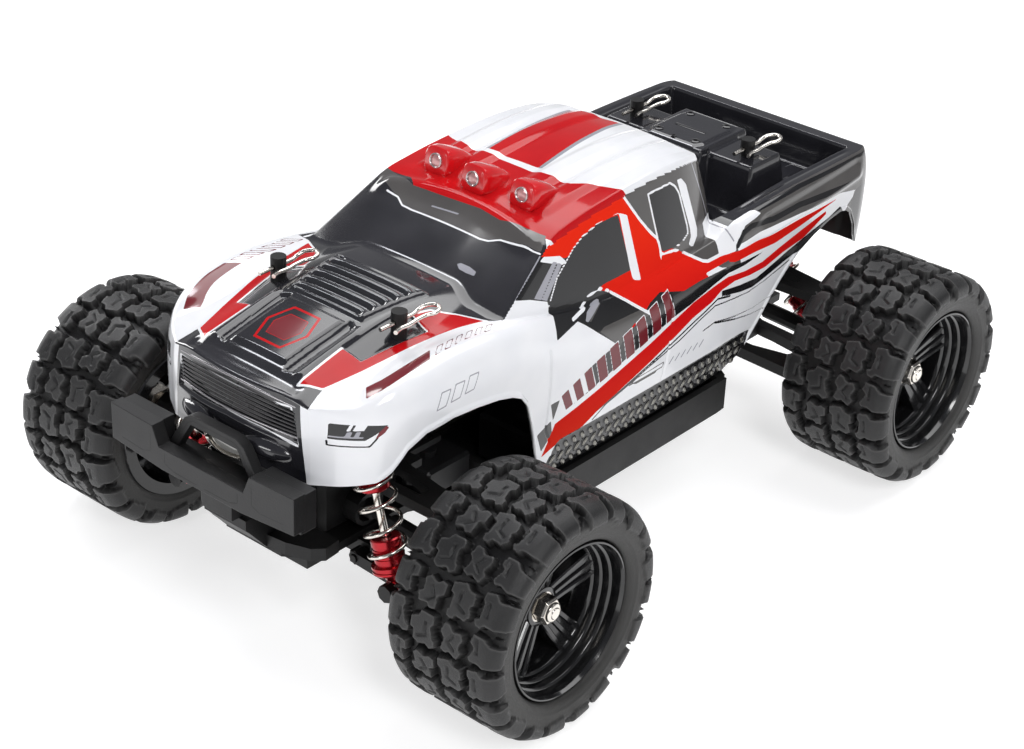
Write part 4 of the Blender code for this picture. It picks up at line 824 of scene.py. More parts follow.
def top_relief(x, y):
    """Height added to the upper skin."""
    out_x = np.abs(x)
    relief = np.zeros_like(x)
    for height, slope, text in BONNET_RELIEF:
        relief += height * step(distance(outline(text), out_x, y), slope)
    # lowered front of the bonnet
    relief -= 0.8 * (1 - smooth01(-130.2, -125.8, y)) * (1 - smooth01(20, 24, out_x))
    # cross slats of the vent, bent towards their ends
    half = 15.2 + (y + 97.0) * 0.13
    phase = (y + 96.4 + 0.9 * smooth01(0.70, 1.0, out_x / half)) / 4.5
    slat = 1 - np.abs(2 * (phase % 1.0) - 1) ** 2.2
    relief += (1.7 * slat - 1.9) * step(distance(VENT_SLATS, out_x, y), 0.7)
    # roof: raised bands, and a ridge along its front edge
    on_roof = smooth01(-30, -26, y) * (1 - smooth01(40, 44, y))
    relief += on_roof * (0.9 * (smooth01(6.6, 10.4, out_x) - smooth01(14.0, 17.4, out_x))
                         + 0.9 * (smooth01(18.0, 21.4, out_x) - smooth01(24.8, 28.2, out_x)))
    brow = np.exp(-((y + 36.4 + 0.004 * out_x ** 2) / 2.6) ** 2)
    relief += 1.3 * (brow * (1 - smooth01(29, 34, out_x)))
    # groove along the bed rails
    rail = np.exp(-((out_x - 41.0) / 0.8) ** 2)
    relief -= 0.35 * (rail * smooth01(54, 60, y) * (1 - smooth01(118, 124, y)))
    # ribs on the bed floor, and the panel on the hump
    in_bed = (out_x < 36) & (y > 52) & (y < 123)
    ribs = ((1 - smooth01(0.25, 0.4, np.abs(((x + 100) / 9.0) % 1.0 - 0.5)))
            * smooth01(104.5, 106, y) * (1 - smooth01(121, 123, y)))
    relief += 0.5 * ribs * in_bed
    relief += 0.7 * step(distance(HUMP_PANEL, out_x, y), 0.8) * in_bed
    return relief


def side_relief(y, z):
    """Outward offset of the flanks, and masks of the tread plate's bars and of the plate."""
    plate = step(distance(TREAD_PLATE, y, z), 0.5)
    relief = -0.5 * plate
    # three rows of raised bars, leaning in turn
    bars = np.zeros_like(y)
    for row_z, lean, offset in ((42.3, 0.62, 0.0), (45.8, -0.62, 2.0), (49.3, 0.62, 0.0)):
        along = ((y + 200 + offset) % 4.0) - 2.0
        up = z - row_z
        cos, sin = math.cos(lean), math.sin(lean)
        across, length = along * cos + up * sin, -along * sin + up * cos
        bars = np.maximum(bars, 1 - smooth01(0.55, 1.0, np.hypot(across / 0.95, length / 2.05)))
    bars = bars * plate
    relief += 0.75 * bars
    # bead round the wheel arches
    arch = np.clip(smooth01(-122, -118, y) * (1 - smooth01(-56, -52, y))
                   + smooth01(52, 56, y) * (1 - smooth01(122, 126, y)), 0, 1)
    relief += 0.5 * arch * (1 - smooth01(1.0, 2.2, z - sill_z(y)))
    # ridge and groove along the bed side
    on_bed = smooth01(58, 66, y) * (1 - smooth01(121, 126, y))
    relief += 0.9 * np.exp(-((z - (88.6 + 0.045 * (y - 60))) / 1.5) ** 2) * on_bed
    relief -= 0.6 * np.exp(-((z - (93.6 + 0.03 * (y - 60))) / 1.6) ** 2) * on_bed
    # gaps at the front and back of the door
    for depth, edge, text in ((0.45, 0.5, "-50.6 88, -50.4 60, -47 53.6"),
                              (0.35, 0.45, "11 88, 12 70, 10 53.6")):
        gap = distance(outline(text), y, z, closed=False)
        relief -= depth * (1 - smooth01(0.15, edge, gap))
    return relief, bars, plate


GRILLE = outline("-23.6 91, 0 93.6, 23.6 91, 25 80.6, 0 82.6, -25 80.6")


def nose_relief(x, z):
    """Forward offset of the nose: a sunk grille over two oval bulges."""
    relief = -1.0 * step(distance(GRILLE, x, z), 0.4)
    for centre_x in (-14.5, 14.5):
        radius = np.hypot((x - centre_x) / 8.6, (z - 75.8) / 3.3)
        relief += 2.8 * np.clip(1 - radius ** 2, 0, None) ** 0.6
    return relief


# ============================================================= body shell: skin
FRONT_Y, BACK_Y = -132.0, 130.5
# Each stop is where a stretch starts and the greatest step within it
LENGTH_STOPS = [(FRONT_Y, 0.45), (-98, 0.45), (-60, 0.36), (-28, 0.55), (40, 0.45), (44, 0.28),
                (50, 0.55), (64, 0.5), (104, 0.6), (122, 0.3), (126.4, 0.6), (BACK_Y, 1)]
WIDTH_STOPS = [(0, 0.0100), (0.50, 0.0046), (0.93, 0.010), (1.0, 1)]    # shares of half width
DEPTH_STOPS = [(0, 0.005), (0.10, 0.0085), (1.0, 1)]                    # shares of the drop


def spaced(stops, coarse):
    places = []
    for (start, gap), (end, _) in zip(stops, stops[1:]):
        count = max(1, int(math.ceil((end - start) / (gap * coarse))))
        places += [start + (end - start) * k / count for k in range(count)]
    places.append(stops[-1][0])
    return np.array(places)


def skin_top(ys, across):
    """Grids of x, y and z over the upper skin, and the zone of each face."""
    station, share = np.meshgrid(ys, across, indexing="ij")
    fade = np.clip((-123.0 - station) / 9.0, 0, 1)
    y = station - NOSE_BOW * fade ** 1.3 * (1 - share * share)
    y[0] = CORNER_Y - NOSE_BOW * (1 - across * across)
    x = edge_x(station) * share
    keep = (np.clip((1 - np.abs(share)) / 0.03, 0, 1)
            * np.clip((station - FRONT_Y) / 1.5, 0, 1) * np.clip((BACK_Y - station) / 1.5, 0, 1))
    z = upper_z(x, y) + top_relief(x, y) * keep
    # the sides of the cab are painted from the side
    mid_x, mid_y, mid_z = ((grid[:-1, :-1] + grid[1:, 1:]) / 2 for grid in (x, y, z))
    out_x = np.abs(mid_x)
    flank = cab_flank_z(mid_x, mid_y)
    roof = roof_z(mid_x, mid_y)
    is_side = ((flank < smin(roof, screen_z(mid_x, mid_y), 0.5) + 0.2) & (out_x > 26)
               & (mid_y > -66) & (mid_y < 46.8) & (np.abs(mid_z - flank) < 3.0)
               & (mid_z < roof - 2.0))
    is_side |= (out_x > 38.2) & (mid_y > -50) & (mid_y < 46.8)
    return x, y, z, np.where(is_side, SIDE, TOP).ravel()


def skin_flank(side, edge, down):
    """Points below the edge of one side, with the masks of the tread plate."""
    edge_y, edge_z = edge[:, 1], edge[:, 2]
    depth, y = np.meshgrid(down, edge_y, indexing="ij")
    z = edge_z + (sill_z(edge_y) - edge_z) * depth
    relief, bars, plate = side_relief(y.ravel(), z.ravel())
    x = (flank_x(y, z, np.broadcast_to(edge_z, z.shape))
         + relief.reshape(z.shape) * np.clip(depth / 0.08, 0, 1)
         * np.clip((y + 131) / 2, 0, 1) * np.clip((129.5 - y) / 2, 0, 1))
    return np.stack([side * x, y, z], -1).reshape(-1, 3), bars, plate


def skin_end(zone, edge, corner, across, down):
    """Points of the nose or tail panel, from its upper edge and its left corner line."""
    depth = down[:, None]
    x = across * corner[:, :1]
    z = edge[:, 2] + (corner[-1, 2] - edge[:, 2]) * depth
    if zone == NOSE:
        forward = (NOSE_BULGE * (1 - across * across)
                   * np.sin(math.pi * np.minimum(1.0, depth * 1.1))
                   + nose_relief(x, z) * np.clip((1 - np.abs(across)) / 0.04, 0, 1)
                   * np.minimum(1.0, depth / 0.05))
    else:
        forward = (0.8 * (1 - smooth01(0.80, 0.86, np.abs(across)))
                   * (1 - np.abs(2 * depth - 1) ** 6))
    return np.stack([x, edge[:, 1] - forward, z], -1).reshape(-1, 3)


def build_skin():
    """Vertices, quads, the zone of each quad, and the bar and plate masks of the shell."""
    coarse = 1.0
    ys = spaced(LENGTH_STOPS, coarse)
    half = spaced(WIDTH_STOPS, coarse)
    across = np.concatenate([-half[::-1], half[1:]])
    down = spaced(DEPTH_STOPS, coarse)[1:]
    x, y, z, top_zones = skin_top(ys, across)
    top = np.arange(x.size).reshape(x.shape)
    verts = [np.stack([x, y, z], -1).reshape(-1, 3)]
    bars, plate = [np.zeros(x.size)], [np.zeros(x.size)]
    quads, zones = [quads_of(top)], [top_zones]

    def add(edge, points, point_bars, point_plate):
        """Adds points in rows below an edge and returns the grid of their numbers."""
        numbers = sum(map(len, verts)) + np.arange(len(points))
        verts.append(points)
        bars.append(point_bars)
        plate.append(point_plate)
        return np.vstack([edge, numbers.reshape(len(down), -1)])

    def add_quads(grid, zone, flip):
        quads.append(quads_of(grid, flip))
        zones.append(np.full(len(quads[-1]), zone))

    flanks = {}
    for side, column in ((-1, 0), (1, -1)):
        edge = top[:, column]
        flanks[side] = add(edge, *skin_flank(side, verts[0][edge], down))
        add_quads(flanks[side], SIDE, flip=side > 0)
    so_far = np.concatenate(verts)
    for row, zone in ((0, NOSE), (-1, TAIL)):
        corner = so_far[flanks[1][1:, row]]
        points = skin_end(zone, so_far[top[row]], corner, across, down)
        grid = add(top[row], points, np.zeros(len(points)), np.zeros(len(points)))
        grid[:, 0], grid[:, -1] = flanks[-1][:, row], flanks[1][:, row]
        add_quads(grid, zone, flip=zone == NOSE)

    # drop the vertices that the flanks' own have stood in for
    quads = np.concatenate(quads)
    used, numbers = np.unique(quads, return_inverse=True)
    return (np.concatenate(verts)[used], numbers.reshape(quads.shape), np.concatenate(zones),
            np.concatenate(bars)[used], np.concatenate(plate)[used])


def shell_mesh():
    verts, quads, zones, bars, plate = build_skin()
    mesh = grid_mesh("body_shell_skin", verts + np.array([0.0, MID_Y, 0.0]), quads)
    corner_verts = quads.ravel()
    corner_zones = np.repeat(zones, 4)
    values = np.full((LAYERS, len(corner_verts)), FAR)
    values[BLACK, corner_zones == TAIL] = -FAR
    for zone, plane in ((TOP, (0, 1)), (SIDE, (1, 2)), (NOSE, (0, 2))):
        chosen = corner_zones == zone
        numbers = np.unique(corner_verts[chosen])
        across, up = verts[numbers][:, plane].T
        paint = paint_values(zone, across, up)
        if zone == TOP:
            paint[BLACK] = np.minimum(paint[BLACK], distance(BLACK_BED, across, up))
        elif zone == SIDE:
            paint[OVER_BLACK] = np.minimum(paint[OVER_BLACK], distance(TREAD_PLATE, across, up))
        else:
            face = np.abs(across) - (25.4 + (94 - up) * 0.085)
            paint[BLACK] = np.minimum(paint[BLACK], face)
        column = np.zeros(len(verts), int)
        column[numbers] = np.arange(len(numbers))
        values[:, chosen] = paint[:, column[corner_verts[chosen]]]
    for layer in range(LAYERS):
        add_attribute(mesh, "L%d" % layer, values[layer], "CORNER")
    add_attribute(mesh, "side", corner_zones == SIDE, "CORNER")
    add_attribute(mesh, "bars", bars)
    add_attribute(mesh, "plate", plate)
    mesh.shade_smooth()
    return mesh


def shell_material():
    """Paint in layers, each shown where its distance is below zero."""
    mat = Material("shell_paint")
    position = mat.add("ShaderNodeSeparateXYZ", {0: mat.coords})
    side = mat.attribute("side")
    tint = mat.noise(60, detail=2.0)
    # painted light: the sides get a lighter red than the top, lighter and more orange low down as
    # a painted reflection of the floor, and lighter towards the top
    height = mat.remap(position.outputs["Z"], 0.0, 1.0, from_min=0.050, from_max=0.105)
    white = mat.vary(tint, (0.80, 0.81, 0.84), (0.86, 0.865, 0.885))
    charcoal = mat.vary(tint, (0.070, 0.066, 0.064), (0.088, 0.083, 0.080))
    red_top = mat.vary(tint, (0.46, 0.004, 0.007), (0.52, 0.008, 0.010))
    lit_side_red = mat.ramp(height, [(0.0, (0.62, 0.030, 0.016)), (0.45, (0.58, 0.007, 0.009)),
                                 (1.0, (0.76, 0.026, 0.010))])
    red = mat.mix(side, red_top, lit_side_red)
    # painted reflection: black on top is lighter and bluer, as if reflecting the sky; on the sides
    # it is darker
    black = mat.mix(side, mat.vary(tint, (0.014, 0.014, 0.017), (0.021, 0.0208, 0.0252)),
                    mat.vary(tint, (0.007, 0.007, 0.008), (0.011, 0.011, 0.0125)))
    silver = mat.vary(tint, (0.30, 0.30, 0.335), (0.36, 0.36, 0.40))
    maroon = mat.vary(tint, (0.14, 0.012, 0.018), (0.18, 0.018, 0.024))
    colour = white
    for layer, paint in ((CHARCOAL, charcoal), (RED, red), (BLACK, black), (WHITE, white),
                         (OVER_RED, red), (OVER_BLACK, black), (OVER_CHARCOAL, charcoal),
                         (OVER_WHITE, white), (SILVER, silver), (MAROON, maroon)):
        shown = mat.math("LESS_THAN", mat.attribute("L%d" % layer), 0.0)
        colour = mat.mix(shown, colour, paint)
    bars = mat.attribute("bars")
    bar_colour = mat.vary(mat.noise(1400), (0.16, 0.155, 0.135), (0.30, 0.29, 0.26))
    colour = mat.mix(mat.math("GREATER_THAN", bars, 0.5), colour, bar_colour)
    # red paint and the sides get less coat and shine
    channels = mat.add("ShaderNodeSeparateColor", {0: colour})
    redness = mat.math("SUBTRACT", channels.outputs[0], channels.outputs[1])

    def lessened(full, by_red, by_side):
        level = mat.math("SUBTRACT", full, mat.math("MULTIPLY", redness, by_red))
        return mat.math("SUBTRACT", level, mat.math("MULTIPLY", side, by_side))

    mat.set(colour, mat.remap(tint, 0.09, 0.14), metal=mat.math("MULTIPLY", bars, 0.7),
            coat=lessened(0.7, by_red=0.95, by_side=0.30),
            spec=lessened(0.5, by_red=0.65, by_side=0.12))
    mat.shader.inputs["Coat Roughness"].default_value = 0.06
    return mat.material


def build_shell():
    shell = new_object("body_shell_skin", shell_mesh())
    shell.data.materials.append(shell_material())
    shell.data.materials.append(INNER)
    solidify = shell.modifiers.new("thickness", "SOLIDIFY")
    solidify.thickness = 1.0 * MM
    solidify.offset = -1.0
    solidify.material_offset = 1
    solidify.material_offset_rim = 0
    assign(shell, "chassis", ["body_shell"])


build_shell()


# ======================================================== details on the shell
# Sections of a roof lamp: distance behind its face, half width, half height, lift
LAMP_SECTIONS = [(0.0, 4.6, 4.1, 0.0), (0.5, 5.1, 4.7, 0.0), (3.0, 5.4, 4.9, 0.0),
                 (9.0, 4.9, 4.4, -0.6), (14.0, 3.9, 3.4, -1.6), (18.5, 2.2, 2.0, -2.8)]


def roof_lamp(place):
    """A tapering pod with a round lens that looks forward."""
    back = Vector((0, 1, -0.19)).normalized()
    up = Vector((0, 0.19, 1)).normalized()
    centre = Vector(place)
    rings = []
    for along, half_width, half_height, lift in LAMP_SECTIONS:
        ring = []
        for k in range(40):
            cos, sin = math.cos(2 * math.pi * k / 40), math.sin(2 * math.pi * k / 40)
            x = half_width * math.copysign(abs(cos) ** 0.55, cos)
            z = half_height * math.copysign(abs(sin) ** (0.55 if sin < 0 else 0.8), sin) + lift
            ring.append(centre + back * along + Vector((1, 0, 0)) * x + up * z)
        rings.append(ring)
    ring_profile = outline("-0.35 1.9, -0.55 2.1, -0.45 2.5, 0.6 2.7, 0.6 1.9")
    glass_profile = outline("-0.25 0, -0.22 1.2, 0 1.95, 0.6 2, 0.6 0")
    return [(loft(rings), 0), (lathe(ring_profile, centre + up * 0.2, back, 40), 1),
            (lathe(glass_profile, centre + up * 0.2, back, 40), 2)]


make("roof_lamps", [part for place in LAMPS for part in roof_lamp(place)],
     [RED_LAMP, LENS_RING, LENS_GLASS, GLOSS], "chassis", smooth=40)


def bed_screws():
    """Screws on the load bed's hump, and a bar between them."""
    parts = []
    for x, y, radius in ((-8.0, 75.5, 1.7), (8.0, 75.5, 1.7), (-8.0, 94.0, 1.7),
                         (8.0, 94.0, 1.7), (0.0, 73.6, 1.1)):
        z = float(upper_z(np.array([x]), np.array([y]))[0]) + 0.7
        profile = [(-1.0, 0.0), (-1.0, radius), (0.25, radius), (0.45, radius * 0.8),
                   (0.45, radius * 0.42), (0.05, radius * 0.36), (0.05, 0.0)]
        parts.append(lathe(profile, (x, y, z), "Z", 24))
    bar = prism(outline("-6.6 82.4, 6.6 82.4, 6.6 84.2, -6.6 84.2"), "Z", 105.4, 106.3)
    bmesh.ops.bevel(bar, geom=list(bar.edges), offset=0.3, segments=2, affect="EDGES",
                    profile=0.5)
    make("bed_screws", parts + [bar], [GLOSS], "chassis", smooth=40)


def grille_bars():
    """Nine arched bars that follow the nose; the lowest and highest are thicker and brighter."""
    parts = []
    for k in range(9):
        points = []
        for i in range(33):
            share = -1 + i / 16.0
            x = share * (25.3 - k * 0.17)
            z = 82.6 + k * 1.24 + 1.9 * (1 - share * share)
            depth = (NOSE_TOP_Z - z) / (NOSE_TOP_Z - NOSE_LOW_Z)
            bow = 1 - (x / CORNER_X) ** 2
            y = (CORNER_Y - NOSE_BOW * bow
                 - NOSE_BULGE * bow * math.sin(math.pi * min(1.0, depth * 1.1)) + 0.35)
            points.append((x, y, z))
        outer = k in (0, 8)
        parts.append((tube(points, 0.42 if outer else 0.3, 8), int(outer)))
    make("grille_bars", parts, [GRILLE_DARK, GRILLE_BRIGHT], "chassis",
         smooth=60)


bed_screws()
grille_bars()

# ==================================================================== tyres
TREAD_REPEATS = 10
TREAD_PERIOD = 2 * math.pi * 37.0 / TREAD_REPEATS
# Section of the bare tyre: (x, radius)
TYRE_SECTION = [(-15.9, RIM_R + 0.35), *outline("""
-17.4 25.4, -18.6 26, -19.4 27.4, -20 29.6, -20.2 31.6, -19.9 33.2, -18.9 34.5, -17.2 35,
-15 35.1, 0 35.1, 15 35.1, 17.2 35, 18.9 34.5, 19.9 33.2, 20.3 31.6, 20.1 29.6, 19.5 27.4,
18.7 26, 17.5 25.4"""), (15.2, RIM_R + 0.35)]
# Tread blocks of one repeat: (distance round the tyre, distance from its middle)
CENTRE_BLOCKS = outlines("""
0.2 0.5, 3.6 0.3, 4.3 1.6, 7.4 1.2, 8 0.3, 10.6 0.6, 11.6 3.4, 10.2 4.6, 11 7.6, 9 10, 6.2 9.4,
5.6 10.6, 1.6 10.2, 0.9 7.4, -0.9 6;
12.6 0.6, 16.6 0.2, 17.8 2, 21.6 1.4, 22.4 4.4, 21.4 5.6, 22.2 8.8, 18.6 10.4, 17.6 8.8,
14.4 9.6, 12.4 7.8, 13.4 5, 12.2 3.4""")
SHOULDER_BLOCKS = outlines("""
-2.2 12, 0.6 11.4, 1.6 12.2, 5.4 11.6, 6 9.9, 8.6 10.8, 9.4 13.4, 8.2 14.6, 8.8 17, 8 22.9,
-0.9 22.9, -0.8 17.6, -2.6 16.4;
10.6 11.2, 14.4 10.6, 15.2 12.6, 18.8 11.4, 20.4 13, 19.6 15.4, 20.2 17.4, 19 22, 11.4 22,
11.6 17.4, 10.2 15.4;
20.9 17.2, 22 17, 22 21.2, 20.7 21.2;
9.6 17.6, 10.6 17.6, 10.6 20.8, 9.4 20.8""")
BLOCK_TURNS = (7, -9, 5, -6)            # degrees, block by block
SIPES = outlines("""
2.6 4.6, 6.4 4.2; 6.4 4.2, 7.6 7; 15.2 5.6, 17.6 4; 17.6 4, 19.4 6.4; 2 14.2, 5.6 14.6;
12.8 14, 16.6 14.4""")


def tyre_section(longest):
    """The section with steps of about the given length, its corners rounded a little."""
    corners = np.array(TYRE_SECTION)
    dense = []
    for start, end in zip(corners, corners[1:]):
        count = max(2, int(np.linalg.norm(end - start) / longest))
        dense += [start + (end - start) * k / count for k in range(count)]
    section = np.array(dense + [corners[-1]])
    for _ in range(2):
        section[1:-1] = 0.25 * section[:-2] + 0.5 * section[1:-1] + 0.25 * section[2:]
    return section


def block_distance(blocks, around, across, shift, sign):
    """Distance to the blocks on the half of the tread where across has the given sign."""
    gap = np.full(across.shape, 9.0)
    for number, points in enumerate(blocks):
        points = np.array(points)
        middle = points.mean(0)
        turn = math.radians(BLOCK_TURNS[(number + (0 if sign > 0 else 1)) % 4])
        cos, sin = math.cos(turn), math.sin(turn)
        points = middle + (points - middle) @ np.array([[cos, sin], [-sin, cos]])
        for repeat in (-TREAD_PERIOD, 0.0, TREAD_PERIOD):
            moved = points + np.array([shift + repeat, 0.0])
            low, high = moved.min(0) - 1.5, moved.max(0) + 1.5
            out = across * sign
            near = (around > low[0]) & (around < high[0]) & (out > low[1]) & (out < high[1])
            gap[near] = np.minimum(gap[near], distance(moved, around[near], out[near]))
    return gap


def tyre_mesh():
    coarse = 1
    section = tyre_section(longest=0.42 * coarse)
    flat, radius = section.T
    steps = np.diff(section, axis=0)
    arc = np.concatenate([[0], np.cumsum(np.hypot(steps[:, 0], steps[:, 1]))])
    arc = arc - np.interp(0.0, flat[4:-4], arc[4:-4])       # from the middle of the tread
    tangent = np.gradient(section, axis=0)
    tangent /= np.linalg.norm(tangent, axis=1)[:, None]
    normal = np.stack([-tangent[:, 1], tangent[:, 0]], -1)

    count = 800 // coarse
    across, angle = np.meshgrid(arc, np.arange(count) * 2 * math.pi / count, indexing="ij")
    around = (angle / (2 * math.pi) * TREAD_REPEATS) % 1.0 * TREAD_PERIOD
    gap = np.full(across.shape, 9.0)
    half_period = TREAD_PERIOD * 0.5
    for blocks, shift, sign in ((CENTRE_BLOCKS, 0.0, 1), (CENTRE_BLOCKS, half_period + 1.0, -1),
                                (SHOULDER_BLOCKS, 0.8, 1),
                                (SHOULDER_BLOCKS, half_period + 1.8, -1)):
        gap = np.minimum(gap, block_distance(blocks, around, across, shift, sign))
    wobble = 0.07 * np.sin(angle * 40.0 + across * 1.3) * np.sin(across * 1.9 - angle * 63.0)
    gap = gap + 0.46 + wobble
    lug = 1 - smooth01(-0.2, 0.2, gap)

    # sipes cut into the blocks
    sipe = np.full(across.shape, 9.0)
    for line in SIPES:
        for sign, shift in ((1, 0.0), (-1, half_period + 1.4)):
            place = (around - shift) % TREAD_PERIOD
            sipe = np.minimum(sipe, distance(line, place, across * sign, closed=False))
    height = np.interp(np.abs(arc), [0, 14, 17.0, 19.5, 21.5, 23.4],
                       [2.88, 2.88, 2.7, 1.8, 0.8, 0.25])
    rise = (lug * height[:, None]
            - 0.55 * (1 - smooth01(0.22, 0.55, sipe)) * (lug > 0.5))
    x = flat[:, None] + normal[:, 0][:, None] * rise
    out = radius[:, None] + normal[:, 1][:, None] * rise
    # rings on the side walls
    for ring_r in (28.9, 31.9):
        bead = np.exp(-((radius - ring_r) / 0.28) ** 2) * (np.abs(flat) > 18.5)
        x += (np.sign(flat) * bead * 0.22)[:, None]

    verts = np.stack([x, out * np.cos(angle), out * np.sin(angle)], -1).reshape(-1, 3)
    grid = np.pad(np.arange(across.size).reshape(across.shape), ((0, 1), (0, 1)), mode="wrap")
    mesh = grid_mesh("tyre", verts, quads_of(grid)[:, [0, 3, 2, 1]])
    add_attribute(mesh, "lug", np.clip(lug, 0, 1))
    # painted highlight along the lugs' top edges
    add_attribute(mesh, "painted_lug_highlight",
                  np.exp(-((gap + 0.42) / 0.26) ** 2) * (np.abs(arc) < 23.0)[:, None])
    add_attribute(mesh, "wall", (np.abs(arc) > 21.6)[:, None] * (1 - lug))
    mesh.shade_smooth()
    mesh.set_sharp_from_angle(angle=math.radians(50))
    mesh.materials.append(tyre_material())
    return mesh


# ==================================================================== wheels
# Profiles along x, outwards: (x, radius)
RIM_BARREL = [(-19.6, RIM_BORE), *outline("-19.6 26.4, -19 26.8, -18.2 26.6"),
              (-17.4, RIM_R), (15.2, RIM_R), *outline("""
16.4 25.1, 17.6 25.2, 18.3 24.9, 18.4 24.4, 17.6 24, 16.9 23.7, 14.4 23.5, 14.1 22.9, 13.8 22.7,
11.6 22.5, 11.3 21.9, 11 21.7, 9.2 21.4, 8.8 20.8, 8.2 20.6, 3 20.6"""), (2.0, RIM_BORE)]
HUB = outline("-1.9 2.7, -1.9 6.8, 6.6 6.6, 7.4 6.2, 7.6 5.4, 7.6 4.9, 6.9 4.7, 6.9 2.7")
# Bars of one spoke: offset from its middle at hub and rim, half width at both, lift
SPOKE_BARS = ((-2.5, -4.1, 0.95, 0.95, 0.0), (2.5, 4.1, 0.95, 0.95, 0.0),
              (0.0, 0.0, 0.8, 1.0, 0.1), (0.0, 0.0, 2.9, 4.3, -0.75))
# Washer, nut, threaded end, axle and hexagon: segments, profile
AXLE_PARTS = (
    (40, "27.6 2.4, 27.6 5.2, 28 5.6, 28.8 5.6, 29.2 5, 29.2 2.4"),
    (6, "29 0, 29 4.1, 29.5 4.5, 32.4 4.5, 33.2 3.9, 33.2 0"),
    (32, "33 0, 33 3.3, 33.9 3, 34.2 2.5, 34.2 1.9, 34.6 1.7, 34.6 0"),
    (32, "3.2 0, 3.2 3, -1.6 3, -1.6 4.2, 11.2 4.2, 11.2 2.3, 30.6 2.3, 30.6 0"),
    (6, "15 0, 15 6.4, 19.7 6.4, 19.7 0"),
)


def spoke_bar(turn, offset_in, offset_out, half_in, half_out, lift):
    cos, sin = math.cos(turn), math.sin(turn)
    rings = []
    for radius, share in ((4.4, 0.0), (8.0, 0.25), (13.0, 0.55), (18.0, 0.85), (21.6, 1.0)):
        middle = offset_in + (offset_out - offset_in) * share
        half = half_in + (half_out - half_in) * share
        front = 6.9 + 2.4 * share ** 1.2 + lift
        rear = 2.0 + 2.8 * share
        section = ((middle - half, rear), (middle + half, rear), (middle + half, front - 0.45),
                   (middle + half * 0.62, front), (middle - half * 0.62, front),
                   (middle - half, front - 0.45))
        rings.append([(x, radius * cos - offset * sin, radius * sin + offset * cos)
                      for offset, x in section])
    return loft(rings)


def rim_mesh(name):
    """Rim about its own centre, with its outer face towards +X."""
    parts = [lathe(RIM_BARREL, (0, 0, 0), "X", 120), lathe(HUB, (0, 0, 0), "X", 48)]
    for k in range(5):
        parts += [spoke_bar(math.radians(90 + 72 * k), *bar) for bar in SPOKE_BARS]
    rim = make(name, parts, [RIM_BLACK], None, smooth=38)
    for vert in rim.data.vertices:      # back to its own centre
        vert.co.y -= MID_Y * MM
    return rim


def place_wheel_part(obj, side, y):
    """Puts a part on its axle; on the right side it is turned half round."""
    turn = Matrix.Rotation(math.pi, 4, "Z") if side < 0 else Matrix.Identity(4)
    obj.matrix_world = Matrix.Translation(Vector((side * WHEEL_X, y + MID_Y, AXLE_Z)) * MM) @ turn


def build_wheels():
    tyres = tyre_mesh()
    rim_data = None
    for tag, side, y, _ in CORNERS:
        wheel = tag + "_wheel"
        tyre = new_object(tag + "_tyre_skin", tyres)
        place_wheel_part(tyre, side, y)
        assign(tyre, wheel, [tag + "_tyre"])
        name = tag + "_rim_skin"
        rim = new_object(name, rim_data) if rim_data else rim_mesh(name)
        rim_data = rim.data
        place_wheel_part(rim, side, y)
        assign(rim, wheel, [tag + "_rim"])
        parts = [mirrored(lathe(outline(text), (KNUCKLE_X, y, AXLE_Z), "X", segments), side)
                 for segments, text in AXLE_PARTS]
        make(tag + "_wheel_axle_skin", parts, [STEEL], wheel, [tag + "_wheel_axle"],
             bevel=0.15)


build_wheels()


# ==================================================================== bumper
def groove_pieces():
    """Thin dark strips just proud of the bumper's face: painted shade of its engraved grooves."""
    half = 0.3
    pieces = []
    for side in (-1, 1):
        for line in outlines("""21.5 71.6, 21.5 65.4, 25 64.2, 34.5 64.9;
                                15.6 67, 15.6 63.6, 12 62.3, 1.5 62.2"""):
            for (x0, z0), (x1, z1) in zip(line, line[1:]):
                length = math.hypot(x1 - x0, z1 - z0)
                dx, dz = -(z1 - z0) / length * half, (x1 - x0) / length * half
                strip = prism([(x0 - dx, z0 - dz), (x1 - dx, z1 - dz), (x1 + dx, z1 + dz),
                               (x0 + dx, z0 + dz)], "Y", BUMPER_FRONT_Y - 0.04, -148.4)
                pieces.append((mirrored(strip, side), 1))
    return pieces


def front_bumper():
    wing = prism(outline("""
18 68.4, 20.6 74.6, 38.8 75.2, 38.8 62.9, 17 60.9, -17 60.9, -38.8 62.9, -38.8 75.2,
-20.6 74.6, -18 68.4"""), "Y", BUMPER_FRONT_Y, -144.4)
    shelf = prism(outline("""
-38.4 -145, 38.4 -145, 38.4 -139.6, 26 -137.2, -26 -137.2, -38.4 -139.6"""), "Z", 61.6, 66.6)
    ears = [box(x0, x1, -146, -139.8, 61.8, 74.6) for x0, x1 in ((-38.6, -20.8), (20.8, 38.6))]
    hoop = prism(outline("""
-20.5 66, -12.5 78.4, -9.5 80.2, 9.5 80.2, 12.5 78.4, 20.5 66, 16.6 66, 9.8 76.8,
-9.8 76.8, -16.6 66"""), "Y", -143.4, -139.8)
    stay = box(-6.5, 6.5, -143, -138.4, 50.3, 63)
    # a dark strip inside the hoop's outline: painted shade of a groove
    hoop_line = prism(outline("""
-18.4 66.2, -11.4 77.4, -9 78.9, 9 78.9, 11.4 77.4, 18.4 66.2, 17.6 66.2, 10.9 76.9,
8.8 78.3, -8.8 78.3, -10.9 76.9, -17.6 66.2"""), "Y", -143.44, -143.0)
    make("front_bumper_skin", [wing, shelf, *ears, hoop, stay, *groove_pieces(), (hoop_line, 1)],
         [NYLON_GREY, PAINTED_GROOVE_SHADE], "chassis", ["front_bumper"], bevel=0.45)


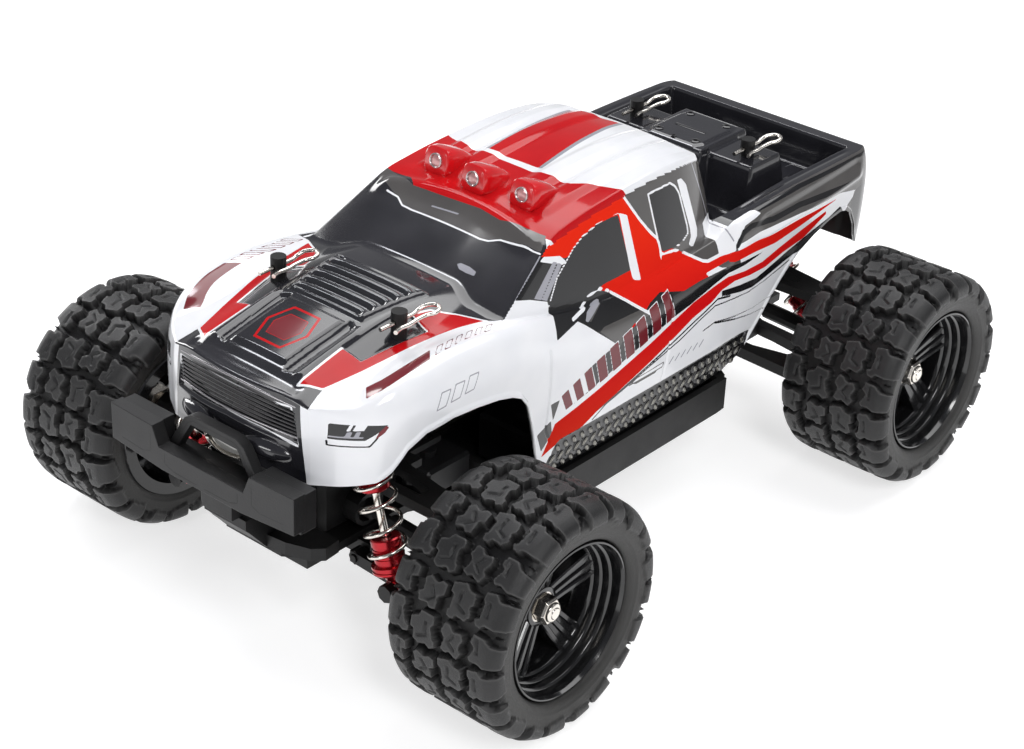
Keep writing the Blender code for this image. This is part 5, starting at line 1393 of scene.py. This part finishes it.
def nose_lamp():
    """A wide oval lens and its ring, behind the bumper's hoop."""
    lamp_z = 72.2
    parts = []
    for number, text in enumerate(("-0.6 0, -0.5 2, 0.2 3.2, 1.6 3.4, 1.6 0",
                                   "-0.4 3.6, -0.8 4, 0.4 5, 1.8 5.2, 1.8 3.6")):
        piece = lathe(outline(text), (0, -138.6, lamp_z), "Y", 40)
        for vert in piece.verts:
            vert.co.x *= 2.0
            vert.co.z = lamp_z + (vert.co.z - lamp_z) * 0.72
        parts.append((piece, number))
    make("nose_lamp", parts, [FOG, STEEL], "chassis", smooth=50)


front_bumper()
nose_lamp()


# ============================================================ kept CAD parts
def finish_cad_parts():
    """CAD parts that keep their shape get rounded edges and a finish."""
    kept = {"battery_pack": WRAP, "speed_controller": CASE, "drive_motor": CAN,
            "steering_servo": CASE, "centre_driveshaft": STEEL}
    for node in ("chassis_tub", "front_gearbox", "rear_gearbox", "front_shock_tower",
                 "steering_link"):
        kept[node] = NYLON
    for tag, _, _, front in CORNERS:
        ends = ("caster_block", "steering_knuckle", "tie_rod") if front else ("hub_carrier",)
        for part in ("lower_arm", "upper_arm", "half_shaft", *ends):
            kept[tag + "_" + part] = NYLON
    for node, material in kept.items():
        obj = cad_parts[node]
        obj.data.materials.clear()
        obj.data.materials.append(material)
        round_edges(obj, 0.28, angle=34)


finish_cad_parts()

# ==================================================================== shocks
SHOCK_EYE = outline("-1.9 1.65, -1.9 2.8, -1.6 3.1, 1.6 3.1, 1.9 2.8, 1.9 1.65")
# Profiles along the shock, upwards: from the lower eye, and from the upper eye
SHOCK_BODY = outline("""
2.3 0, 2.3 1.7, 3.4 2.6, 4.6 3, 5.2 3.4, 5.6 5.4, 6.2 6, 6.8 6, 7 5.6, 7.4 5.6, 7.6 6, 8.4 6,
8.6 4.7, 10.6 4.7, 10.8 4.4, 11.3 4.4, 11.5 4.7, 13.6 4.7, 13.8 4.4, 14.3 4.4, 14.5 4.7,
16.6 4.7, 17 4.3, 17 2.1, 5 2.1, 5 0""")
SHOCK_CAP = outline("""
-11.6 1.3, -11.6 4.4, -11.2 4.7, -9.6 4.7, -9.4 4.45, -8.9 4.45, -8.7 4.7, -6.2 4.7, -6 5.8,
-5.8 6, -5 6, -4.8 5.7, -4.5 5.7, -4.3 6, -3.7 6, -3.3 5.4, -2.5 2.6, -2.3 2.3, -2.3 1.3""")
SHAFT_R = 1.3
SPRING_R, WIRE_R, SPRING_TURNS, STEPS_PER_TURN = 5.85, 0.62, 4, 40


def build_shock(tag, side, axle_y, front):
    place = SHOCKS[front]
    y = axle_y + (-1 if front else 1) * place["dy"]
    low = Vector((place["low"][0], y, place["low"][1]))
    top = Vector((place["top"][0], y, place["top"][1]))
    along = (top - low).normalized()
    length = (top - low).length

    parts = [mirrored(lathe(SHOCK_EYE, low, "Y", 32), side),
             mirrored(lathe(SHOCK_BODY, low, along, 40), side)]
    make(tag + "_shock_body_skin", parts, [RED_METAL], tag + "_shock_lower",
         [tag + "_shock_body"], smooth=30)

    shaft_low = -length + 11.6
    shaft = [(shaft_low, 0.0), (shaft_low, SHAFT_R), (-3.0, SHAFT_R), (-3.0, 0.0)]
    parts = [(mirrored(lathe(SHOCK_EYE, top, "Y", 32), side), 0),
             (mirrored(lathe(SHOCK_CAP, top, along, 40), side), 0),
             (mirrored(lathe(shaft, top, along, 24), side), 1)]
    make(tag + "_shock_rod_skin", parts, [RED_METAL, STEEL], tag + "_shock_upper",
         [tag + "_shock_rod"], smooth=30)

    # spring, closer wound at its ends
    across = Vector((0, 1, 0))
    other = along.cross(across)
    start, end = 8.75, length - 6.35
    steps = SPRING_TURNS * STEPS_PER_TURN
    points = []
    for i in range(steps + 1):
        t = i / steps
        rise = t - 0.028 * math.sin(2 * math.pi * t)
        angle = 2 * math.pi * SPRING_TURNS * t
        points.append(low + along * (start + 0.6 + (end - start - 1.2) * rise)
                      + (across * math.cos(angle) + other * math.sin(angle)) * SPRING_R)
    spring = make(tag + "_shock_spring_skin", [mirrored(tube(points, WIRE_R), side)], [STEEL],
                  None, [tag + "_shock_spring"], smooth=60)
    start, end = ((side * point.x * MM, (point.y + MID_Y) * MM, point.z * MM)
                  for point in (low + along * 9.0, top - along * 7.0))
    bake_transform(spring)


for corner in CORNERS:
    build_shock(*corner)

# ================================================================ body clips
# Wire of a clip, from the hole in its post
CLIP_WIRE = [(0, -8.0, 0), (0, -4.0, 0), (0, 0, 0), (0, 6.0, 0), (0, 8.2, 0.6),
             (1.0, 10.4, 1.6), (3.2, 12.2, 2.0), (5.6, 11.4, 2.0), (6.2, 9.0, 1.6),
             (4.6, 6.6, 1.0), (4.1, 3.0, 0.6), (4.3, 0, 0.4), (4.1, -3.6, 0.4), (5.2, -7.0, 0.6)]
for sign, side_name in ((1, "left"), (-1, "right")):
    for end_name, (post_x, post_y, post_top) in POSTS.items():
        corner = end_name + "_" + side_name
        wire = [(sign * post_x + x, post_y + y, post_top - CLIP_DROP + z)
                for x, y, z in CLIP_WIRE]
        make(corner + "_clip_skin", [tube(curve_through(wire, 7), 0.68)], [STEEL],
             corner + "_clip", [corner + "_body_clip"], smooth=60)


# ================================================= stage, light, camera (metres)
def build_floor():
    mesh = bpy.data.meshes.new("floor")
    mesh.from_pydata([(-6, -6, -0.0004), (6, -6, -0.0004), (6, 6, -0.0004), (-6, 6, -0.0004)],
                     [], [(0, 1, 2, 3)])
    mat = Material("floor")
    mat.set(mat.vary(mat.noise(3.0), (0.56, 0.56, 0.565), (0.60, 0.60, 0.60)), rough=0.9,
            metal=0.0, spec=0.0)
    mat.shader.inputs["Emission Color"].default_value = (1, 1, 1, 1)
    mat.shader.inputs["Emission Strength"].default_value = 0.58
    mesh.materials.append(mat.material)
    new_object("floor", mesh)


def build_world():
    """White to the camera; a dim sky that falls off upwards to everything else."""
    world = bpy.data.worlds.new("studio")
    bpy.context.scene.world = world
    nodes = Nodes(world)
    seen = nodes.tree.nodes["Background"]
    seen.inputs["Color"].default_value = (1.0, 1.0, 1.0, 1.0)
    seen.inputs["Strength"].default_value = 1.0
    way = nodes.add("ShaderNodeTexCoord").outputs["Generated"]
    up = nodes.add("ShaderNodeSeparateXYZ", {0: way}).outputs["Z"]
    sky = nodes.ramp(up, [(0.0, (1.0, 1.0, 1.0)), (0.55, (0.55, 0.56, 0.62))])
    dim = nodes.add("ShaderNodeBackground", {"Color": sky, "Strength": 0.29})
    ray = nodes.add("ShaderNodeLightPath")
    both = nodes.add("ShaderNodeMixShader", {0: ray.outputs["Is Camera Ray"],
                                             1: dim.outputs[0], 2: seen.outputs[0]})
    nodes.feed(nodes.tree.nodes["World Output"].inputs["Surface"], both.outputs[0])


def area_light(name, place, target, power, size, colour=(1, 1, 1)):
    light = bpy.data.lights.new(name, "AREA")
    light.energy = power
    light.color = colour
    light.shape = "RECTANGLE"
    light.size, light.size_y = size
    obj = new_object(name, light)
    obj.location = place
    obj.rotation_euler = (Vector(target) - Vector(place)).to_track_quat("-Z", "Y").to_euler()
    obj.visible_camera = False


def build_camera():
    place = Vector((0.42229176, -0.52015348 + MID_Y * MM, 0.41733462))
    forward = Vector((-0.55481071, 0.67178099, -0.49081094))
    right = Vector((0.75618422, 0.65318161, 0.0392328))
    up = Vector((-0.34694453, 0.34937671, 0.87038233))
    data = bpy.data.cameras.new("camera")
    data.sensor_width = 36.0
    data.lens = 79.339922
    data.clip_start = 0.01
    camera = new_object("camera", data)
    rows = [(right[i], up[i], -forward[i], place[i]) for i in range(3)]
    camera.matrix_world = Matrix((*rows, (0, 0, 0, 1)))
    bpy.context.scene.camera = camera


build_floor()
build_world()
area_light("top", (-0.10, 0.42, 1.0), target=(0, 0, 0.06), power=8.4 and 1.3 if False else 8.4,
           size=(1.3, 0.8))
area_light("left", (-1.10, 0.05, 0.50), target=(0, 0, 0.06), power=4.4, size=(0.30, 0.7))
area_light("key", (0.85, -0.55, 0.95), target=(0, 0, 0.05), power=6.2, size=(0.32, 0.55))
area_light("strip", (-0.63, 0.045, 1.05), target=(0, -0.07, 0.1), power=1.0, size=(0.09, 0.36),
           colour=(0.93, 0.94, 1.0))
area_light("front", (-0.25, -1.2, 0.45), target=(0, 0, 0.05), power=2.0, size=(0.5, 0.25))
build_camera()
bpy.context.scene.view_settings.view_transform = "Standard"
bpy.context.scene.view_settings.exposure = 0.24
